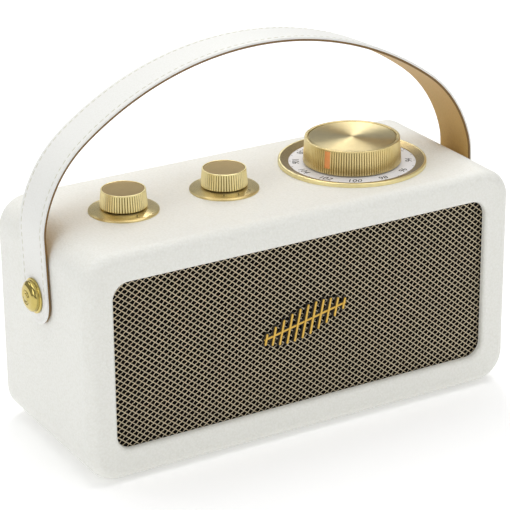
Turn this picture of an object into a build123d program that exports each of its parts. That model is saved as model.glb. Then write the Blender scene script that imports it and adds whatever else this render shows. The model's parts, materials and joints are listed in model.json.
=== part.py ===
from build123d import *
import math
import os

# A portable tabletop radio: a leather-wrapped wooden box with a woven front grille, three
# turned brass controls on top, a leather strap handle on two studs and an aerial at the back.
#
# Millimetres. +X is the radio's right-hand side seen from the front, the front faces -Y and
# +Z is up. The origin is on the table, under the middle of the whole object's footprint.

# ---- Driving dimensions -------------------------------------------------------------------

WIDTH = 235.0             # cabinet over the leather, side to side
DEPTH = 97.0              # cabinet over the leather, front to back
HEIGHT = 114.0            # cabinet over the leather, without its feet
FOOT_HEIGHT = 1.5         # how far the feet hold the cabinet off the table
CORNER_RADIUS = 15.0      # the four corners of the front outline
RIM_RADIUS = 5.5          # rounding of the front and back edges
LEATHER = 1.0             # thickness of the cabinet's leather
WALL = 5.0                # thickness of the wooden walls
AERIAL_DEPTH = 7.0        # how far the folded aerial stands behind the cabinet
LIP_RADIUS = 2.0          # rounding of the leather where it turns in at the grille
BACK_LIP_RADIUS = 0.6     # and where it ends round the back panel

GRILLE_WIDTH = 206.0
GRILLE_HEIGHT = 84.5
GRILLE_RADIUS = 8.0
GRILLE_MARGIN = 15.0      # leather below the grille opening
GRILLE_RECESS = 3.4       # how far the mesh lies behind the front face
MESH_THICKNESS = 1.0

VOLUME_X = -72.5          # the three controls, left to right
MODE_X = -18.0
TUNING_X = 55.0
SMALL_KNOB_RADIUS = 11.5
SMALL_KNOB_HEIGHT = 11.0  # top of the knob above the leather
SMALL_BEZEL_RADIUS = 17.0
SMALL_BEZEL_HEIGHT = 1.9
TUNING_KNOB_RADIUS = 24.5
TUNING_KNOB_HEIGHT = 13.5
DIAL_BEZEL_RADIUS = 37.0
DIAL_BEZEL_HEIGHT = 2.0
DIAL_RADIUS = 31.75       # the part of the dial that shows inside its bezel
POINTER_ANGLE = -152.5    # where the pointer stands on the dial, anticlockwise from +X
SHAFT_RADIUS = 3.0
RUNNING_GAP = 0.05        # radial clearance of a shaft in its bearing

STRAP_WIDTH = 25.5
STRAP_LEATHER = 1.2
STRAP_LINING = 1.1
STRAP_GAP = 0.5           # the spacer washer between strap and cabinet
STUD_HEIGHT = 81.0        # stud centre above the cabinet's underside
STUD_RADIUS = 8.6
STUD_NECK_RADIUS = 3.0
TAB_LENGTH = 14.0         # strap below the stud centre
STRAIGHT_LEG = 30.0       # straight strap above the stud centre
# The strap's inner face above that, as (arc radius, degrees it turns towards the middle).
LEG_ARCS = ((30.0, 12.0), (60.0, 41.0))
HANDLE_LEAN = 3.5         # degrees the handle leans back from upright, at rest

# ---- Places worked out from them ----------------------------------------------------------

FRONT = -(DEPTH + AERIAL_DEPTH) / 2
REAR = FRONT + DEPTH
MIDDLE = FRONT + DEPTH / 2
BASE = FOOT_HEIGHT
TOP = BASE + HEIGHT
SIDE = WIDTH / 2
FLOOR_INSIDE = BASE + LEATHER + WALL
CEILING = TOP - LEATHER - WALL
STUD_Z = BASE + STUD_HEIGHT
STRAP_X = SIDE + STRAP_GAP
GRILLE_Z = BASE + GRILLE_MARGIN + GRILLE_HEIGHT / 2

FRONT_WALL = 4.0
BAFFLE_FRONT = FRONT + LEATHER + FRONT_WALL
BAFFLE_THICKNESS = 6.0
BAFFLE_BACK = BAFFLE_FRONT + BAFFLE_THICKNESS

PANEL_WIDTH = 207.0
PANEL_HEIGHT = 86.0
PANEL_RADIUS = 8.0
PANEL_THICKNESS = 3.0
PANEL_INSET = 1.0
PANEL_Z = BASE + HEIGHT / 2
PANEL_FACE = REAR - PANEL_INSET
PANEL_INNER = PANEL_FACE - PANEL_THICKNESS
PANEL_LEDGE = 3.0

# ---- Helpers ------------------------------------------------------------------------------


def rounded_slab(width, height, radius, y_front, y_back, z_middle, x_middle=0.0):
    """A plate that stands facing -Y, with rounded corners."""
    outline = Plane.XZ * RectangleRounded(width, height, radius)
    slab = extrude(outline, (y_back - y_front) / 2, both=True)
    return Pos(x_middle, (y_front + y_back) / 2, z_middle) * slab


def grille_pocket(grow, y_front, y_back):
    """The space inside the grille opening, made larger all round by grow."""
    return rounded_slab(GRILLE_WIDTH + 2 * grow, GRILLE_HEIGHT + 2 * grow, GRILLE_RADIUS + grow,
                        y_front, y_back, GRILLE_Z)


def pocketed_block(inset):
    """The cabinet's outer form with the grille's pocket, every face moved inwards by inset."""
    block = rounded_slab(WIDTH - 2 * inset, HEIGHT - 2 * inset, CORNER_RADIUS - inset,
                         FRONT + inset, REAR - inset, BASE + HEIGHT / 2)
    by_depth = block.faces().sort_by(Axis.Y)
    rims = by_depth[0].edges() + by_depth[-1].edges()
    block = fillet(rims, RIM_RADIUS - inset) - grille_pocket(inset, FRONT - 1, BAFFLE_FRONT)
    front_face = block.faces().sort_by(Axis.Y)[0]
    return fillet(front_face.inner_wires()[0].edges(), LIP_RADIUS - inset)


def box(x_range, y_range, z_range):
    """A box between two values on each axis."""
    size = [high - low for low, high in (x_range, y_range, z_range)]
    middle = [(low + high) / 2 for low, high in (x_range, y_range, z_range)]
    return Pos(*middle) * Box(*size)


def post(x, y, z_low, z_high, radius):
    """A cylinder that stands upright."""
    return Pos(x, y, (z_low + z_high) / 2) * Cylinder(radius, z_high - z_low)


def rod_y(x, z, y_low, y_high, radius):
    """A cylinder that lies front to back."""
    return Pos(x, (y_low + y_high) / 2, z) * Rot(90, 0, 0) * Cylinder(radius, y_high - y_low)


def rod_x(y, z, x_low, x_high, radius):
    """A cylinder that lies side to side."""
    return Pos((x_low + x_high) / 2, y, z) * Rot(0, 90, 0) * Cylinder(radius, x_high - x_low)


def turned(points, x, y):
    """A solid turned about the upright axis through x, y from (radius, height) points."""
    outline = make_face(Polyline([(radius, 0, height) for radius, height in points], close=True))
    return Pos(x, y, 0) * revolve(outline, Axis.Z)


def turned_y(points, z):
    """A solid turned about the front-to-back axis at height z from (radius, depth) points."""
    outline = make_face(Polyline([(radius, depth, 0) for radius, depth in points], close=True))
    return Pos(0, 0, z) * revolve(outline, Axis.Y)


def both_sides(shape):
    """The shape and its mirror image on the other side of the radio."""
    return shape, mirror(shape, Plane.YZ)


# ---- Cabinet ------------------------------------------------------------------------------

BUSHING_RADIUS = 3.6
CONTROL_XS = (VOLUME_X, MODE_X, TUNING_X)
STUD_HOLE_RADIUS = STUD_NECK_RADIUS + 0.2
INSERT_RADIUS = 4.5
PANEL_SCREW_XS = (-97.0, 0.0, 97.0)
PANEL_SCREW_Z = 39.5      # above and below the panel's middle
LEDGE_OVERLAP = 6.0       # how far the ledge reaches in behind the back panel
DIAL_HOLE_RADIUS = DIAL_RADIUS + 1.5


def leather_cover():
    """The leather skin, turned in at the grille opening and round the back panel."""
    skin = pocketed_block(0) - pocketed_block(LEATHER)
    skin -= grille_pocket(LEATHER, FRONT + GRILLE_RECESS, BAFFLE_FRONT + 1)
    skin -= rounded_slab(PANEL_WIDTH, PANEL_HEIGHT, PANEL_RADIUS, PANEL_FACE - 1, REAR + 1, PANEL_Z)
    back_face = skin.faces().sort_by(Axis.Y)[-1]
    skin = fillet(back_face.inner_wires()[0].edges(), BACK_LIP_RADIUS)
    for x in CONTROL_XS[:2]:
        skin -= post(x, MIDDLE, TOP - 2, TOP + 1, BUSHING_RADIUS)
    skin -= post(TUNING_X, MIDDLE, TOP - 2, TOP + 1, DIAL_HOLE_RADIUS)
    for x, y in foot_places():
        skin -= post(x, y, BASE - 1, BASE + 2, FOOT_PIN_RADIUS)
    return skin - rod_x(MIDDLE, STUD_Z, -SIDE - 1, SIDE + 1, STUD_HOLE_RADIUS)


def cabinet_shell():
    """The wooden box: open at the front for the grille and at the back for the panel."""
    shell = pocketed_block(LEATHER)
    inside = CORNER_RADIUS - LEATHER - WALL
    inner_width = WIDTH - 2 * (LEATHER + WALL)
    inner_height = HEIGHT - 2 * (LEATHER + WALL)
    shell -= rounded_slab(inner_width, inner_height, inside,
                          BAFFLE_FRONT, PANEL_INNER - PANEL_LEDGE, BASE + HEIGHT / 2)
    shell -= rounded_slab(PANEL_WIDTH, PANEL_HEIGHT, PANEL_RADIUS, PANEL_INNER, REAR, PANEL_Z)
    shell -= rounded_slab(PANEL_WIDTH - 2 * LEDGE_OVERLAP, PANEL_HEIGHT - 2 * LEDGE_OVERLAP,
                          PANEL_RADIUS, PANEL_INNER - PANEL_LEDGE - 1, PANEL_INNER, PANEL_Z)
    for x in CONTROL_XS:
        shell -= post(x, MIDDLE, CEILING - 1, TOP, BUSHING_RADIUS)
    shell -= rod_x(MIDDLE, STUD_Z, -SIDE, SIDE, INSERT_RADIUS)
    for x in PANEL_SCREW_XS:
        for z in (PANEL_Z - PANEL_SCREW_Z, PANEL_Z + PANEL_SCREW_Z):
            shell -= rod_y(x, z, PANEL_INNER - PANEL_LEDGE - 1, PANEL_INNER + 1, PANEL_SCREW_RADIUS)
    for x, y in foot_places():
        shell -= post(x, y, BASE, BASE + LEATHER + FOOT_PIN_LENGTH, FOOT_PIN_RADIUS)
    return shell


def front_baffle():
    """The board that closes the front and carries the loudspeaker."""
    board = rounded_slab(WIDTH - 2 * (LEATHER + WALL), HEIGHT - 2 * (LEATHER + WALL),
                         CORNER_RADIUS - LEATHER - WALL, BAFFLE_FRONT, BAFFLE_BACK, BASE + HEIGHT / 2)
    board -= rod_y(0, GRILLE_Z, BAFFLE_FRONT - 1, BAFFLE_BACK + 1, BASKET_OPENING)
    for x, z in speaker_screw_places():
        board -= rod_y(x, z, BAFFLE_BACK - SPEAKER_SCREW_LENGTH, BAFFLE_BACK + 1, SPEAKER_SCREW_RADIUS)
    return board


# ---- Grille -------------------------------------------------------------------------------

GRILLE_FRAME_BORDER = 7.0
MESH_BACK = FRONT + GRILLE_RECESS + MESH_THICKNESS
BADGE_LENGTH = 49.0
BADGE_THICKNESS = 1.2
BADGE_RISE = 12.0         # degrees the emblem's rail climbs to the right
BADGE_LEAN = 24.0         # degrees its bars lean from square to the rail
BADGE_BARS = 11
BADGE_BAR_WIDTH = 1.7
BADGE_TALLEST = 18.0
BADGE_RAIL_HEIGHT = 2.0
BADGE_PIN_RADIUS = 1.0
BADGE_PIN_SPACING = 30.0


def grille_mesh():
    """The woven brass wire panel, as a plate of the weave's full thickness."""
    mesh = grille_pocket(LEATHER, FRONT + GRILLE_RECESS, MESH_BACK)
    return mesh - tilted_on_grille(badge_pins(FRONT, MESH_BACK + 1))


def grille_frame():
    """The steel frame that holds the mesh flat against the baffle."""
    frame = grille_pocket(LEATHER, MESH_BACK, BAFFLE_FRONT)
    return frame - grille_window(MESH_BACK - 1, BAFFLE_FRONT + 1)


def grille_window(y_front, y_back):
    """The space inside the grille frame."""
    border = 2 * GRILLE_FRAME_BORDER
    return rounded_slab(GRILLE_WIDTH - border, GRILLE_HEIGHT - border, GRILLE_RADIUS,
                        y_front, y_back, GRILLE_Z)


def tilted_on_grille(shapes):
    """Shapes made level about x = 0, z = 0, moved to the grille's middle and along its slope."""
    return [Pos(0, 0, GRILLE_Z) * Rot(0, -BADGE_RISE, 0) * shape for shape in shapes]


def badge_pins(y_front, y_back):
    half = BADGE_PIN_SPACING / 2
    return [rod_y(x, 0, y_front, y_back, BADGE_PIN_RADIUS) for x in (-half, half)]


def badge_bars(y_front, y_back):
    """The emblem's row of leaning bars, tall in the middle and shorter towards both ends."""
    pitch = BADGE_LENGTH / BADGE_BARS
    bars = []
    for index in range(BADGE_BARS):
        x = (index - (BADGE_BARS - 1) / 2) * pitch
        height = BADGE_TALLEST * math.cos(math.pi * x / (BADGE_LENGTH * 1.2))
        bar = rounded_slab(BADGE_BAR_WIDTH, height, BADGE_BAR_WIDTH / 2 - 0.05, y_front, y_back, 0)
        bars.append(Pos(x, 0, 0) * Rot(0, BADGE_LEAN, 0) * bar)
    return bars


def front_badge():
    """A plain emblem: leaning bars on a thin rail, held to the mesh by two pins."""
    y_back = FRONT + GRILLE_RECESS
    y_front = y_back - BADGE_THICKNESS
    rail_front = y_back - BADGE_THICKNESS / 2
    rail = box((-BADGE_LENGTH / 2, BADGE_LENGTH / 2), (rail_front, y_back),
               (-BADGE_RAIL_HEIGHT / 2, BADGE_RAIL_HEIGHT / 2))
    pieces = [rail] + badge_bars(y_front, y_back) + badge_pins(rail_front, MESH_BACK)
    badge = Part()
    for piece in tilted_on_grille(pieces):
        badge += piece
    return badge


# ---- Loudspeaker --------------------------------------------------------------------------
# Depths here are measured back from the baffle's rear face.

BASKET_RADIUS = 39.0
BASKET_OPENING = 33.0
GASKET_THICKNESS = 0.8
FLANGE_THICKNESS = 1.5
BASKET_DEPTH = 25.5
MAGNET_RADIUS = 24.0
MAGNET_DEPTH = 36.0
YOKE_THICKNESS = 3.0
POLE_RADIUS = 9.2
COIL_RADIUS = 10.0        # middle of the voice coil's tube
GAP_RADIUS = 11.8
CONE_RADIUS = 29.0
SPEAKER_SCREW_RADIUS = 1.5
SPEAKER_SCREW_LENGTH = 5.0
SPEAKER_SCREW_HEAD = 2.2
SPEAKER_SCREW_CIRCLE = 36.8


def speaker_part(points):
    """A turned loudspeaker piece from (radius, depth behind the baffle) points."""
    return turned_y([(radius, BAFFLE_BACK + depth) for radius, depth in points], GRILLE_Z)


def speaker_screw_places():
    for angle in (45, 135, 225, 315):
        turn = math.radians(angle)
        yield SPEAKER_SCREW_CIRCLE * math.cos(turn), GRILLE_Z + SPEAKER_SCREW_CIRCLE * math.sin(turn)


def speaker_gasket():
    gasket = speaker_part([(BASKET_OPENING, 0), (BASKET_RADIUS, 0),
                           (BASKET_RADIUS, GASKET_THICKNESS), (BASKET_OPENING, GASKET_THICKNESS)])
    for x, z in speaker_screw_places():
        gasket -= rod_y(x, z, BAFFLE_BACK - 1, BAFFLE_BACK + 2, SPEAKER_SCREW_RADIUS)
    return gasket


def speaker_basket():
    """The pressed steel frame: flange, four legs and the seat for the magnet."""
    flange_back = GASKET_THICKNESS + FLANGE_THICKNESS
    basket = speaker_part([
        (BASKET_OPENING, GASKET_THICKNESS), (BASKET_RADIUS, GASKET_THICKNESS),
        (BASKET_RADIUS, flange_back), (BASKET_OPENING + 1.5, flange_back),
        (MAGNET_RADIUS, BASKET_DEPTH), (GAP_RADIUS + 2, BASKET_DEPTH),
        (GAP_RADIUS + 2, BASKET_DEPTH - 1.5), (MAGNET_RADIUS - 1.5, BASKET_DEPTH - 1.5),
        (BASKET_OPENING, flange_back)])
    window = box((-12, 12), (BAFFLE_BACK + 6, BAFFLE_BACK + BASKET_DEPTH - 5), (-60, 60))
    for angle in (0, 90):
        basket -= Pos(0, 0, GRILLE_Z) * Rot(0, angle, 0) * window
    for x, z in speaker_screw_places():
        basket -= rod_y(x, z, BAFFLE_BACK - 1, BAFFLE_BACK + 4, SPEAKER_SCREW_RADIUS)
    return basket


def speaker_magnet():
    return speaker_part([(GAP_RADIUS, BASKET_DEPTH), (MAGNET_RADIUS, BASKET_DEPTH),
                         (MAGNET_RADIUS, MAGNET_DEPTH), (GAP_RADIUS, MAGNET_DEPTH)])


def speaker_yoke():
    """Back plate and centre pole of the magnet."""
    return speaker_part([(0, BASKET_DEPTH - 2), (POLE_RADIUS, BASKET_DEPTH - 2),
                         (POLE_RADIUS, MAGNET_DEPTH), (MAGNET_RADIUS - 1, MAGNET_DEPTH),
                         (MAGNET_RADIUS - 1, MAGNET_DEPTH + YOKE_THICKNESS),
                         (0, MAGNET_DEPTH + YOKE_THICKNESS)])


def voice_coil():
    return speaker_part([(COIL_RADIUS - 0.3, 13), (COIL_RADIUS + 0.3, 13),
                         (COIL_RADIUS + 0.3, 26), (COIL_RADIUS + 0.9, 26),
                         (COIL_RADIUS + 0.9, 31), (COIL_RADIUS - 0.3, 31)])


def speaker_cone():
    return speaker_part([(COIL_RADIUS + 0.3, 13), (CONE_RADIUS, 3.5), (CONE_RADIUS, 4.5),
                         (COIL_RADIUS + 0.3, 14.2)])


def speaker_surround():
    """The rubber half-roll between the cone and the flange."""
    return speaker_part([(CONE_RADIUS, 3.6), (CONE_RADIUS, 2.6), (CONE_RADIUS + 1.0, 1.4),
                         (BASKET_OPENING - 1.0, 1.0), (BASKET_OPENING, 1.2), (BASKET_OPENING, 2.2),
                         (CONE_RADIUS + 1.6, 2.4)])


def speaker_spider():
    """The corrugated cloth disc that centres the voice coil."""
    seat = 22.0
    points = [(COIL_RADIUS + 0.3, seat)]
    for index in range(1, 6):
        points.append((COIL_RADIUS + 0.3 + 2.4 * index, seat + (0.6 if index % 2 else -0.6)))
    lower = [(radius, depth + 0.4) for radius, depth in reversed(points)]
    return speaker_part(points + lower)


def dust_cap():
    """The shallow dome over the voice coil."""
    cap_radius = COIL_RADIUS - 0.3
    return speaker_part([(0, 10.6), (0.45 * cap_radius, 11.0), (0.8 * cap_radius, 12.0),
                         (cap_radius, 13.0), (cap_radius, 13.6), (0.8 * cap_radius, 12.8),
                         (0.45 * cap_radius, 11.8), (0, 11.4)])


def speaker_screws():
    screws = []
    head = BAFFLE_BACK + GASKET_THICKNESS + FLANGE_THICKNESS
    for x, z in speaker_screw_places():
        screw = rod_y(x, z, BAFFLE_BACK - SPEAKER_SCREW_LENGTH, head, SPEAKER_SCREW_RADIUS)
        screws.append(screw + rod_y(x, z, head, head + 1.6, SPEAKER_SCREW_HEAD))
    return Compound(children=screws)


# ---- Controls -----------------------------------------------------------------------------

BUSHING_WALL_RADIUS = 3.5
BUSHING_TOP = TOP + SMALL_BEZEL_HEIGHT + 2.6
NUT_ACROSS_FLATS = 10.0
NUT_HEIGHT = 2.0
KNOB_CLEARANCE = 0.7      # between a knob's skirt and what lies under it
KNOB_DRAFT = 0.8          # how much narrower a knob is at its top
CONTROL_BODY = 8.0
TUNING_BODY = 14.0
DIAL_SEAT = TOP - LEATHER
DIAL_THICKNESS = 1.4
DIAL_TOP = DIAL_SEAT + DIAL_THICKNESS
CAP_THICKNESS = 0.8
POINTER_WIDTH = 2.8
POINTER_DEPTH = 0.9


def control_body(x, radius, length):
    """A rotary control under the top wall, with its threaded bushing through the wall."""
    body = post(x, MIDDLE, CEILING - length, CEILING, radius)
    body += post(x, MIDDLE, CEILING - 1, BUSHING_TOP, BUSHING_WALL_RADIUS)
    tags = box((x - 6, x + 6), (MIDDLE + radius - 2, MIDDLE + radius + 4),
               (CEILING - length + 1, CEILING - length + 2))
    body += tags
    return body - post(x, MIDDLE, CEILING - length + 2, BUSHING_TOP + 1, SHAFT_RADIUS + RUNNING_GAP)


def control_nuts():
    """The three hexagon nuts that clamp the controls, one under each knob."""
    nuts = []
    seats = (TOP + SMALL_BEZEL_HEIGHT, TOP + SMALL_BEZEL_HEIGHT, DIAL_TOP)
    for x, seat in zip(CONTROL_XS, seats):
        hexagon = RegularPolygon(NUT_ACROSS_FLATS / 2, 6, major_radius=False)
        nut = Pos(x, MIDDLE, seat) * extrude(hexagon, NUT_HEIGHT)
        nuts.append(nut - post(x, MIDDLE, seat - 1, seat + NUT_HEIGHT + 1, BUSHING_WALL_RADIUS))
    return Compound(children=nuts)


def small_bezel(x):
    """The brass flange under a small knob, with a bevelled edge."""
    edge = 0.7
    return turned([(BUSHING_WALL_RADIUS, TOP), (SMALL_BEZEL_RADIUS, TOP),
                   (SMALL_BEZEL_RADIUS, TOP + SMALL_BEZEL_HEIGHT - edge),
                   (SMALL_BEZEL_RADIUS - edge, TOP + SMALL_BEZEL_HEIGHT),
                   (BUSHING_WALL_RADIUS, TOP + SMALL_BEZEL_HEIGHT)], x, MIDDLE)


def tuning_bezel():
    """The ring round the dial: highest at its outside, sloping down to the dial."""
    crest = TOP + DIAL_BEZEL_HEIGHT
    return turned([(DIAL_RADIUS, DIAL_TOP), (DIAL_HOLE_RADIUS, DIAL_TOP), (DIAL_HOLE_RADIUS, TOP),
                   (DIAL_BEZEL_RADIUS, TOP), (DIAL_BEZEL_RADIUS, crest - 0.8),
                   (DIAL_BEZEL_RADIUS - 0.7, crest), (DIAL_BEZEL_RADIUS - 1.7, crest),
                   (DIAL_RADIUS, DIAL_TOP + 0.3)], TUNING_X, MIDDLE)


def tuning_dial():
    return turned([(BUSHING_WALL_RADIUS, DIAL_SEAT), (DIAL_HOLE_RADIUS, DIAL_SEAT),
                   (DIAL_HOLE_RADIUS, DIAL_TOP), (BUSHING_WALL_RADIUS, DIAL_TOP)], TUNING_X, MIDDLE)


def shaft(x, body_length, z_high):
    """A control's shaft with the flat that keys it to its knob."""
    low = CEILING - body_length + 2 + RUNNING_GAP
    spindle = post(x, MIDDLE, low, z_high, SHAFT_RADIUS)
    flat_start = BUSHING_TOP + 0.5
    return spindle - box((x + 1.5, x + 4), (MIDDLE - 4, MIDDLE + 4), (flat_start, z_high + 1))


def knob_body(x, radius, z_low, z_high, hollow_radius, hollow_height):
    """A turned knob, hollow underneath over its nut, with a keyed hole for its shaft."""
    edge = 0.6
    knob = turned([(hollow_radius, z_low), (radius, z_low), (radius - KNOB_DRAFT, z_high - edge),
                   (radius - KNOB_DRAFT - edge, z_high), (0, z_high),
                   (0, z_low + hollow_height), (hollow_radius, z_low + hollow_height)], x, MIDDLE)
    return knob


def flutes(x, radius, count, z_low, z_high, depth):
    """The ring of upright grooves round a knob's side."""
    lean = math.degrees(math.atan2(KNOB_DRAFT, z_high - z_low))
    length = 1.2 * (z_high - z_low)
    groove = Pos(radius - KNOB_DRAFT / 2, 0, 0) * Rot(0, -lean, 0) * Rot(0, 0, 45) * Box(
        depth * math.sqrt(2), depth * math.sqrt(2), length)
    ring = [Rot(0, 0, 360 * index / count) * groove for index in range(count)]
    return [Pos(x, MIDDLE, (z_low + z_high) / 2) * cutter for cutter in ring]


def small_knob(x):
    z_low = TOP + SMALL_BEZEL_HEIGHT + KNOB_CLEARANCE
    z_high = TOP + SMALL_KNOB_HEIGHT
    knob = knob_body(x, SMALL_KNOB_RADIUS, z_low, z_high, 7.5, 4.0)
    dish = post(x, MIDDLE, z_high - 0.4, z_high + 1, SMALL_KNOB_RADIUS - KNOB_DRAFT - 1.4)
    knob -= flutes(x, SMALL_KNOB_RADIUS, 54, z_low - 4, z_high - 1.5, 0.3)
    return knob - dish - shaft(x, CONTROL_BODY, z_high - 2.0)


def tuning_knob():
    z_low = DIAL_TOP + KNOB_CLEARANCE
    z_high = TOP + TUNING_KNOB_HEIGHT
    knob = knob_body(TUNING_X, TUNING_KNOB_RADIUS, z_low, z_high, 20.0, 6.0)
    boss = post(TUNING_X, MIDDLE, z_low + 4.5, z_low + 6.5, 7.0)
    knob += boss
    knob -= flutes(TUNING_X, TUNING_KNOB_RADIUS, 96, z_low - 4, z_high - 1.5, 0.35)
    return knob - pointer_blank() - cap_blank() - shaft(TUNING_X, TUNING_BODY, z_high - 3.0)


def cap_blank():
    z_high = TOP + TUNING_KNOB_HEIGHT
    return post(TUNING_X, MIDDLE, z_high - CAP_THICKNESS - 0.2, z_high + 1, TUNING_KNOB_RADIUS - 2.4)


def tuning_knob_cap():
    """The brushed disc let into the top of the tuning knob."""
    z_high = TOP + TUNING_KNOB_HEIGHT
    return cap_blank() & post(TUNING_X, MIDDLE, z_high - 3, z_high - 0.2, TUNING_KNOB_RADIUS)


def pointer_blank():
    """The slot in the knob's side that the pointer fills."""
    z_high = TOP + TUNING_KNOB_HEIGHT - 1.0
    z_low = z_high - 8.5
    outer = TUNING_KNOB_RADIUS + 0.1
    bar = box((outer - POINTER_DEPTH - 0.8, outer), (-POINTER_WIDTH / 2, POINTER_WIDTH / 2),
              (z_low, z_high))
    return Pos(TUNING_X, MIDDLE, 0) * Rot(0, 0, POINTER_ANGLE) * bar


def tuning_pointer():
    z_low = DIAL_TOP + KNOB_CLEARANCE
    z_high = TOP + TUNING_KNOB_HEIGHT
    flush = turned([(0, z_low), (TUNING_KNOB_RADIUS + 0.1, z_low),
                    (TUNING_KNOB_RADIUS - KNOB_DRAFT + 0.1, z_high), (0, z_high)], TUNING_X, MIDDLE)
    return pointer_blank() & flush


# ---- Electronics --------------------------------------------------------------------------

BOARD_X = (-26.0, 100.0)
BOARD_Y = (MIDDLE + 2.0, PANEL_INNER - PANEL_LEDGE - 0.5)
BOARD_Z = FLOOR_INSIDE + 13.0
BOARD_THICKNESS = 1.6
BOARD_TOP = BOARD_Z + BOARD_THICKNESS
STANDOFF_RADIUS = 2.5
STANDOFF_INSET = 5.0
CELL_RADIUS = 9.2
CELL_LENGTH = 65.0
CELL_X = (-100.0, -100.0 + CELL_LENGTH)
CELL_YS = (MIDDLE + 4.0, MIDDLE + 24.0)
HOLDER_WALL = 2.0
CHARGE_X = 54.0
CHARGE_SIZE = (9.0, 3.3)
JACK_X = 30.0
JACK_RADIUS = 1.8
JACK_LENGTH = 14.0
LIGHT_X = 72.0
PORT_Z = BOARD_TOP + 3.0
PORT_PLATE = (62.0, 15.0)
PORT_PLATE_X = (JACK_X + LIGHT_X) / 2
PORT_PLATE_THICKNESS = 1.0


def standoff_places():
    for x in (BOARD_X[0] + STANDOFF_INSET, BOARD_X[1] - STANDOFF_INSET):
        for y in (BOARD_Y[0] + STANDOFF_INSET, BOARD_Y[1] - STANDOFF_INSET - 10):
            yield x, y


def main_board():
    board = box(BOARD_X, BOARD_Y, (BOARD_Z, BOARD_TOP))
    for x, y in standoff_places():
        board -= post(x, y, BOARD_Z - 1, BOARD_TOP + 1, 1.6)
    return board


def board_standoffs():
    """Brass pillars between the cabinet floor and the board, with their screws' shanks."""
    pillars = []
    for x, y in standoff_places():
        pillar = post(x, y, FLOOR_INSIDE, BOARD_Z, STANDOFF_RADIUS)
        pillars.append(pillar + post(x, y, BOARD_Z, BOARD_TOP, 1.5))
    return Compound(children=pillars)


def board_screws():
    """The screw heads that clamp the board to its pillars."""
    heads = [post(x, y, BOARD_TOP, BOARD_TOP + 1.8, 2.8) for x, y in standoff_places()]
    return Compound(children=heads)


def board_components():
    """The tuner can, amplifier chip, coil and capacitors on the board."""
    tuner = box((-18, 8), (MIDDLE + 6, MIDDLE + 24), (BOARD_TOP, BOARD_TOP + 4))
    amplifier = box((20, 32), (MIDDLE + 8, MIDDLE + 20), (BOARD_TOP, BOARD_TOP + 1.5))
    coil = box((62, 72), (MIDDLE + 8, MIDDLE + 18), (BOARD_TOP, BOARD_TOP + 5))
    cans = [post(x, MIDDLE + 15, BOARD_TOP, BOARD_TOP + 10, 4) for x in (42, 53)]
    return Compound(children=[tuner, amplifier, coil] + cans)


def battery_holder():
    """The open tray for the two cells."""
    x_low, x_high = CELL_X[0] - HOLDER_WALL, CELL_X[1] + HOLDER_WALL
    y_low = CELL_YS[0] - CELL_RADIUS - HOLDER_WALL
    y_high = CELL_YS[1] + CELL_RADIUS + HOLDER_WALL
    tray = box((x_low, x_high), (y_low, y_high), (FLOOR_INSIDE, FLOOR_INSIDE + 12))
    return tray - box(CELL_X, (y_low + HOLDER_WALL, y_high - HOLDER_WALL),
                      (FLOOR_INSIDE + HOLDER_WALL, FLOOR_INSIDE + 20))


def battery_cells():
    z = FLOOR_INSIDE + HOLDER_WALL + CELL_RADIUS
    cells = [rod_x(y, z, CELL_X[0] + 0.2, CELL_X[1] - 0.2, CELL_RADIUS) for y in CELL_YS]
    return Compound(children=cells)


def charge_hole(y_low, y_high):
    width, height = CHARGE_SIZE
    return rounded_slab(width, height, height / 2 - 0.05, y_low, y_high, PORT_Z, CHARGE_X)


def charge_port():
    """The charging socket: a metal sleeve with a tongue inside."""
    y_back = PANEL_FACE - 0.2
    y_front = y_back - 8.5
    sleeve = charge_hole(y_front, y_back)
    sleeve += box((CHARGE_X - 4.5, CHARGE_X + 4.5), (y_front, BOARD_Y[1] - 0.5), (BOARD_TOP, PORT_Z))
    hollow = rounded_slab(CHARGE_SIZE[0] - 0.7, CHARGE_SIZE[1] - 0.7, 1.25,
                          y_front + 1.5, y_back + 1, PORT_Z, CHARGE_X)
    tongue = box((CHARGE_X - 3.3, CHARGE_X + 3.3), (y_front, y_back - 1.5), (PORT_Z - 0.35, PORT_Z + 0.35))
    return sleeve - hollow + tongue


def aux_jack():
    """The 3.5 mm audio socket."""
    y_back = PANEL_FACE - 0.2
    block = box((JACK_X - 5, JACK_X + 5), (y_back - JACK_LENGTH - 2, BOARD_Y[1] - 0.5),
                (BOARD_TOP, PORT_Z + 4))
    block += rod_y(JACK_X, PORT_Z, y_back - 8, y_back, 2.9)
    return block - rod_y(JACK_X, PORT_Z, y_back - JACK_LENGTH, y_back + 1, JACK_RADIUS)


def charge_light():
    """The small light pipe beside the charging socket."""
    y_back = PANEL_FACE - 0.1
    stem = rod_y(LIGHT_X, PORT_Z, PANEL_INNER - 4, y_back, 1.2)
    return stem + box((LIGHT_X - 1.5, LIGHT_X + 1.5), (PANEL_INNER - 6, PANEL_INNER - 4),
                      (BOARD_TOP, PORT_Z + 1.5))


def port_cutters(y_low, y_high):
    """Openings for the sockets and the light through the panel and the port plate."""
    return [charge_hole(y_low, y_high), rod_y(JACK_X, PORT_Z, y_low, y_high, 2.9),
            rod_y(LIGHT_X, PORT_Z, y_low, y_high, 1.2)]


def port_plate():
    """The thin brass plate let into the back panel round the sockets."""
    plate = rounded_slab(PORT_PLATE[0], PORT_PLATE[1], 3.0, PANEL_FACE - PORT_PLATE_THICKNESS,
                         PANEL_FACE, PORT_Z, PORT_PLATE_X)
    return plate - port_cutters(PANEL_FACE - 3, PANEL_FACE + 1)


# ---- Back panel and aerial ----------------------------------------------------------------

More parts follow.
